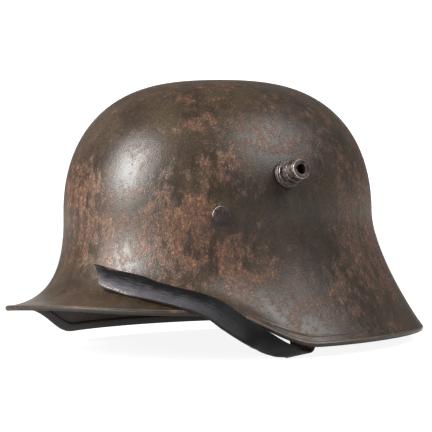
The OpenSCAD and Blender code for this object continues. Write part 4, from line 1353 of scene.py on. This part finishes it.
strapSize = {
    "outer": [                              # upper edge, lower edge
        ((116.92, 6.91, 57.85), (121.32, 14.10, 47.57)), ((113.89, 23.61, 54.01), (127.23, 23.60, 45.08)),
        ((109.50, 38.11, 51.29), (121.81, 39.20, 40.39)), ((104.42, 51.81, 46.37), (118.30, 54.01, 38.00)),
        ((98.60, 72.11, 42.00), (112.51, 75.81, 33.40)), ((91.30, 82.50, 37.90), (103.99, 86.30, 28.10)),
        ((85.40, 89.50, 32.20), (96.99, 92.30, 21.10)), ((75.81, 94.89, 24.11), (84.11, 100.20, 11.31)),
        ((58.19, 103.11, 11.99), (65.01, 94.20, 5.20)), ((34.60, 105.60, 4.10), (45.40, 94.80, 0.95))],
    "inner": [
        ((27.70, 105.00, 9.60), (39.20, 93.90, 6.71)), ((22.52, 98.71, 17.48), (35.39, 89.25, 14.79)),
        ((16.72, 92.93, 24.83), (31.40, 86.31, 23.08)), ((10.16, 88.92, 32.14), (25.96, 85.45, 31.40)),
        ((4.00, 86.19, 39.64), (20.13, 84.75, 39.54)), ((1.07, 86.60, 46.5), (17.23, 85.45, 46.5)),
        ((1.07, 86.60, 50.5), (17.23, 85.45, 50.5)), ((1.15, 87.78, 54.5), (17.31, 86.64, 54.5)),
        ((1.18, 88.20, 58.0), (17.34, 87.05, 58.0)), ((1.11, 87.15, 60.0), (17.27, 86.0, 60.0)),
        ((0.99, 85.45, 60.75), (17.15, 84.31, 60.75)), ((0.87, 83.75, 60.0), (17.03, 82.6, 60.0)),
        ((0.79, 82.71, 58.0), (16.95, 81.56, 58.0)), ((0.82, 83.12, 54.5), (16.98, 81.98, 54.5)),
        ((0.91, 84.30, 50.5), (17.07, 83.16, 50.5)), ((0.91, 84.30, 42.0), (17.07, 83.16, 42.0))],
    "thick": 2.2,
    "step": 0.7,
    "columns": 22,
    "curl": (1.5, 9),                       # how far the worn end's upper corner stands out, and its reach
    "wave": 0.22,                           # slow bends of the outer run
    "ragged": 0.16,                         # unevenness of its edges
    "nick": 1.9,                            # how far the lower edge is drawn up at the fold
    "arch": (1.2, 30, 11),                  # rise of the upper edge, its place before the fold, its width
    "foldMiddle": Vector((0.040, 0.1002, 0.0025)),
    "foldWay": Vector((0.646, 0.656, 0.388)),
    "black": (0.0050, 0.0046, 0.0050, 1),
    # painted sheen: the grey-blue of the lower half, and its lightest tone near the cut end
    "sheenGreyBlue": (0.063, 0.059, 0.066, 1),
    "wearAndSheen": (0.165, 0.150, 0.160, 1),
    "redBrown": (0.075, 0.034, 0.026, 1),
    "chipped": (0.44, 0.38, 0.35, 1),
    "flesh": (0.075, 0.047, 0.034, 1),
    "fleshPale": (0.125, 0.083, 0.062, 1),
    "edge": (0.014, 0.010, 0.009, 1),
}


def endShift(v):
    # how far the worn cut end draws back from its upper corner, in millimetres
    return lookup([(0, 0.6), (0.12, 1.2), (0.35, 1.7), (0.6, 2.3), (0.8, 3.5), (0.92, 5.3), (1, 8.0)], v)


def strapRows(size):
    pairs = size["outer"] + size["inner"]
    upper = catmull([Vector(a) for a, b in pairs], 24)
    lower = catmull([Vector(b) for a, b in pairs], 24)
    middle = [(a + b) / 2 for a, b in zip(upper, lower)]
    lengths = [0]
    for a, b in zip(middle, middle[1:]):
        lengths.append(lengths[-1] + (b - a).length)
    fold = lengths[24 * (len(size["outer"]) - 1)]
    return upper, lower, lengths, fold


def strapSection(width, columns):
    # once round the strap: share of the width, lift from its middle plane, and the face's side
    rise = [(away / width, lift) for away, lift in [(0, 0), (0, 0.45), (0.12, 0.78), (0.4, 0.96), (0.9, 1)]]
    level = [(mix(0.9 / width, 1 - 0.9 / width, k / columns), 1) for k in range(1, columns)]
    over = rise + level + [(1 - v, lift) for v, lift in reversed(rise)]
    return [(v, lift, 1) for v, lift in over] + [(v, lift, -1) for v, lift in reversed(over[1:-1])]


def makeStrapMesh(size):
    upper, lower, lengths, fold = strapRows(size)
    whole = lengths[-1]

    def edgesAt(s):
        k = min(max(bisect.bisect(lengths, s) - 1, 0), len(lengths) - 2)
        share = min(max((s - lengths[k]) / (lengths[k + 1] - lengths[k]), 0), 1)
        return upper[k].lerp(upper[k + 1], share), lower[k].lerp(lower[k + 1], share)

    def frameAt(s):
        # both edges at a distance along the strap, its forward way and its outward way
        a, b = edgesAt(s)
        ahead = (sum(edgesAt(s + 0.9), Vector()) - sum(edgesAt(s - 0.9), Vector())).normalized()
        return a, b, ahead, ahead.cross((a - b).normalized()).normalized()

    verts, marks = [], {"along": [], "across": [], "flesh": [], "edge": []}
    curlRise, curlReach = size["curl"]
    archRise, archBefore, archWidth = size["arch"]
    count = round(whole / size["step"])
    for i in range(count + 1):
        s = whole * i / count
        a, b = edgesAt(s)
        section = strapSection((a - b).length, size["columns"])
        drawnUp = size["nick"] * smooth(-11, -1.5, s - fold) * (1 - smooth(-0.9, 0.5, s - fold))
        for v, lift, face in section:
            at = s + endShift(v) * (1 - smooth(0, 14, s))
            a, b, ahead, outward = frameAt(at)
            curl = curlRise * (1 - smooth(0, curlReach, s)) * max(0, 1 - 1.25 * v) ** 2
            wave = (size["wave"] * noise.noise(Vector((s * 0.09, v * 2, 4))) * smooth(0, 10, s)
                    * (s < fold - 12))
            ragged = size["ragged"] * noise.noise(Vector((s * 0.16, v, 9))) * abs(2 * v - 1)
            nick = drawnUp * smooth(0.7, 1, v)
            arch = archRise * bump(s, fold - archBefore, archWidth) * (1 - v) ** 2
            p = a.lerp(b, v) + ahead * min(0, at) + (a - b).normalized() * (nick + arch + ragged)
            p += outward * (face * lift * size["thick"] / 2 + curl + wave)
            verts.append(p / 1000)
            marks["along"].append(s / 1000)
            marks["across"].append(v)
            marks["flesh"].append(1 if face < 0 and lift > 0.5 else 0)
            marks["edge"].append(1 - smooth(0.5, 1.0, lift))
    sides = len(section)
    faces = [(a, b, b + sides, a + sides) for i in range(count)
             for a, b in [(i * sides + k, i * sides + (k + 1) % sides) for k in range(sides)]]
    faces.append(tuple(reversed(range(sides))))
    faces.append(tuple(range(count * sides, (count + 1) * sides)))
    mesh = bpy.data.meshes.new("chinStrap")
    mesh.from_pydata(verts, [], faces)
    piece = bpy.data.objects.new("chinStrap", mesh)
    bpy.context.collection.objects.link(piece)
    for name, values in marks.items():
        paintPoints(piece, name, values)
    activate(piece)
    bpy.ops.object.mode_set(mode="EDIT")
    bpy.ops.mesh.select_all(action="SELECT")
    bpy.ops.mesh.normals_make_consistent(inside=False)
    bpy.ops.object.mode_set(mode="OBJECT")
    return piece, fold / 1000


def bandShare(tree, value, a, b, c, d):
    # rises from a to b and falls from c to d
    return sums(tree, "MULTIPLY", spread(tree, value, a, b), spread(tree, value, d, c))


def makeStrapLeather(size, fold):
    material, tree, surface = newMaterial("strapLeather", Specular_IOR_Level=0.10)[:3]
    along, across = pointValue(tree, "along"), pointValue(tree, "across")
    flesh, edge = pointValue(tree, "flesh"), pointValue(tree, "edge")
    flat = addNode(tree, "CombineXYZ", {0: along, 1: sums(tree, "MULTIPLY", across, 0.016)}).outputs[0]
    drawnOut = addNode(tree, "CombineXYZ", {0: sums(tree, "MULTIPLY", along, 0.16),
                                            1: sums(tree, "MULTIPLY", across, 0.016)}).outputs[0]
    lines = addNode(tree, "TexNoise", {"Vector": drawnOut, "Scale": 900.0, "Detail": 4.0, "Roughness": 0.6})
    fine = addNode(tree, "TexNoise", {"Vector": flat, "Scale": 1500.0, "Detail": 3.0, "Roughness": 0.6})
    cloudy = addNode(tree, "TexNoise", {"Vector": flat, "Scale": 130.0, "Detail": 4.0, "Roughness": 0.6})
    grain = useGroup(tree, groups["grain"], Vector=flat, Scale=1300.0, Crease=0.5)
    # painted reflection: the lower half is lightened to a grey-blue sheen, less and less towards the fold
    ragged = sums(tree, "MULTIPLY", sums(tree, "SUBTRACT", lines.outputs["Fac"], 0.5), 0.8)
    level = sums(tree, "ADD", across, ragged)
    near = spread(tree, along, fold * 0.80, fold * 0.30)
    paintedSheen = sums(tree, "MULTIPLY", spread(tree, level, 0.22, 0.80), near)
    paintedSheen = sums(tree, "MULTIPLY", paintedSheen, spread(tree, cloudy.outputs["Fac"], 0.3, 0.65, 0.62, 1.0))
    colour = blendColours(tree, paintedSheen, size["black"], size["sheenGreyBlue"])
    # painted sheen, lightest on the lower edge near the cut end
    wearAndSheen = sums(tree, "MULTIPLY", spread(tree, level, 0.58, 1.0), spread(tree, along, 0.044, 0.014))
    colour = blendColours(tree, sums(tree, "MULTIPLY", wearAndSheen, 0.75), colour, size["wearAndSheen"])
    top = sums(tree, "MULTIPLY", spread(tree, level, 0.14, 0.0),
               bandShare(tree, along, 0.004, 0.008, 0.011, 0.018))
    colour = blendColours(tree, sums(tree, "MULTIPLY", top, 0.8), colour, size["redBrown"])
    shade = spread(tree, fine.outputs["Fac"], 0.32, 0.68, 0.6, 1.45)
    grey = addNode(tree, "CombineColor", {0: shade, 1: shade, 2: shade}).outputs[0]
    colour = blendColours(tree, 1.0, colour, grey, "MULTIPLY")
    chips = useGroup(tree, groups["speckle"], Vector=flat, Scale=800.0, Amount=0.52, Softness=0.05)
    strip = sums(tree, "MULTIPLY", bandShare(tree, across, 0.88, 0.93, 0.97, 0.995),
                 bandShare(tree, along, 0.010, 0.014, 0.024, 0.036))
    chipped = sums(tree, "MULTIPLY", strip, chips.outputs["Mask"])
    colour = blendColours(tree, sums(tree, "MULTIPLY", chipped, 0.75), colour, size["chipped"])
    raw = blendColours(tree, spread(tree, fine.outputs["Fac"], 0.35, 0.65), size["flesh"],
                       size["fleshPale"])
    colour = blendColours(tree, flesh, colour, raw)
    colour = blendColours(tree, sums(tree, "MULTIPLY", edge, 0.8), colour, size["edge"])
    tree.links.new(colour, surface.inputs["Base Color"])
    rough = spread(tree, paintedSheen, 0, 1, 0.44, 0.52)
    tree.links.new(sums(tree, "ADD", rough, sums(tree, "MULTIPLY", flesh, 0.3)), surface.inputs["Roughness"])
    height = sums(tree, "ADD", sums(tree, "MULTIPLY", grain.outputs["Height"], 0.35),
                  sums(tree, "MULTIPLY", lines.outputs["Fac"], 1.1))
    linkBump(tree, surface, height, 0.42, 0.0004)
    return material


strap, foldAt = makeStrapMesh(strapSize)
smoothShade(strap, 50)
strap.data.materials.append(makeStrapLeather(strapSize, foldAt))
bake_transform(strap)
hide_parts("strap_inner_run", "strap_outer_run")
print("strap made")
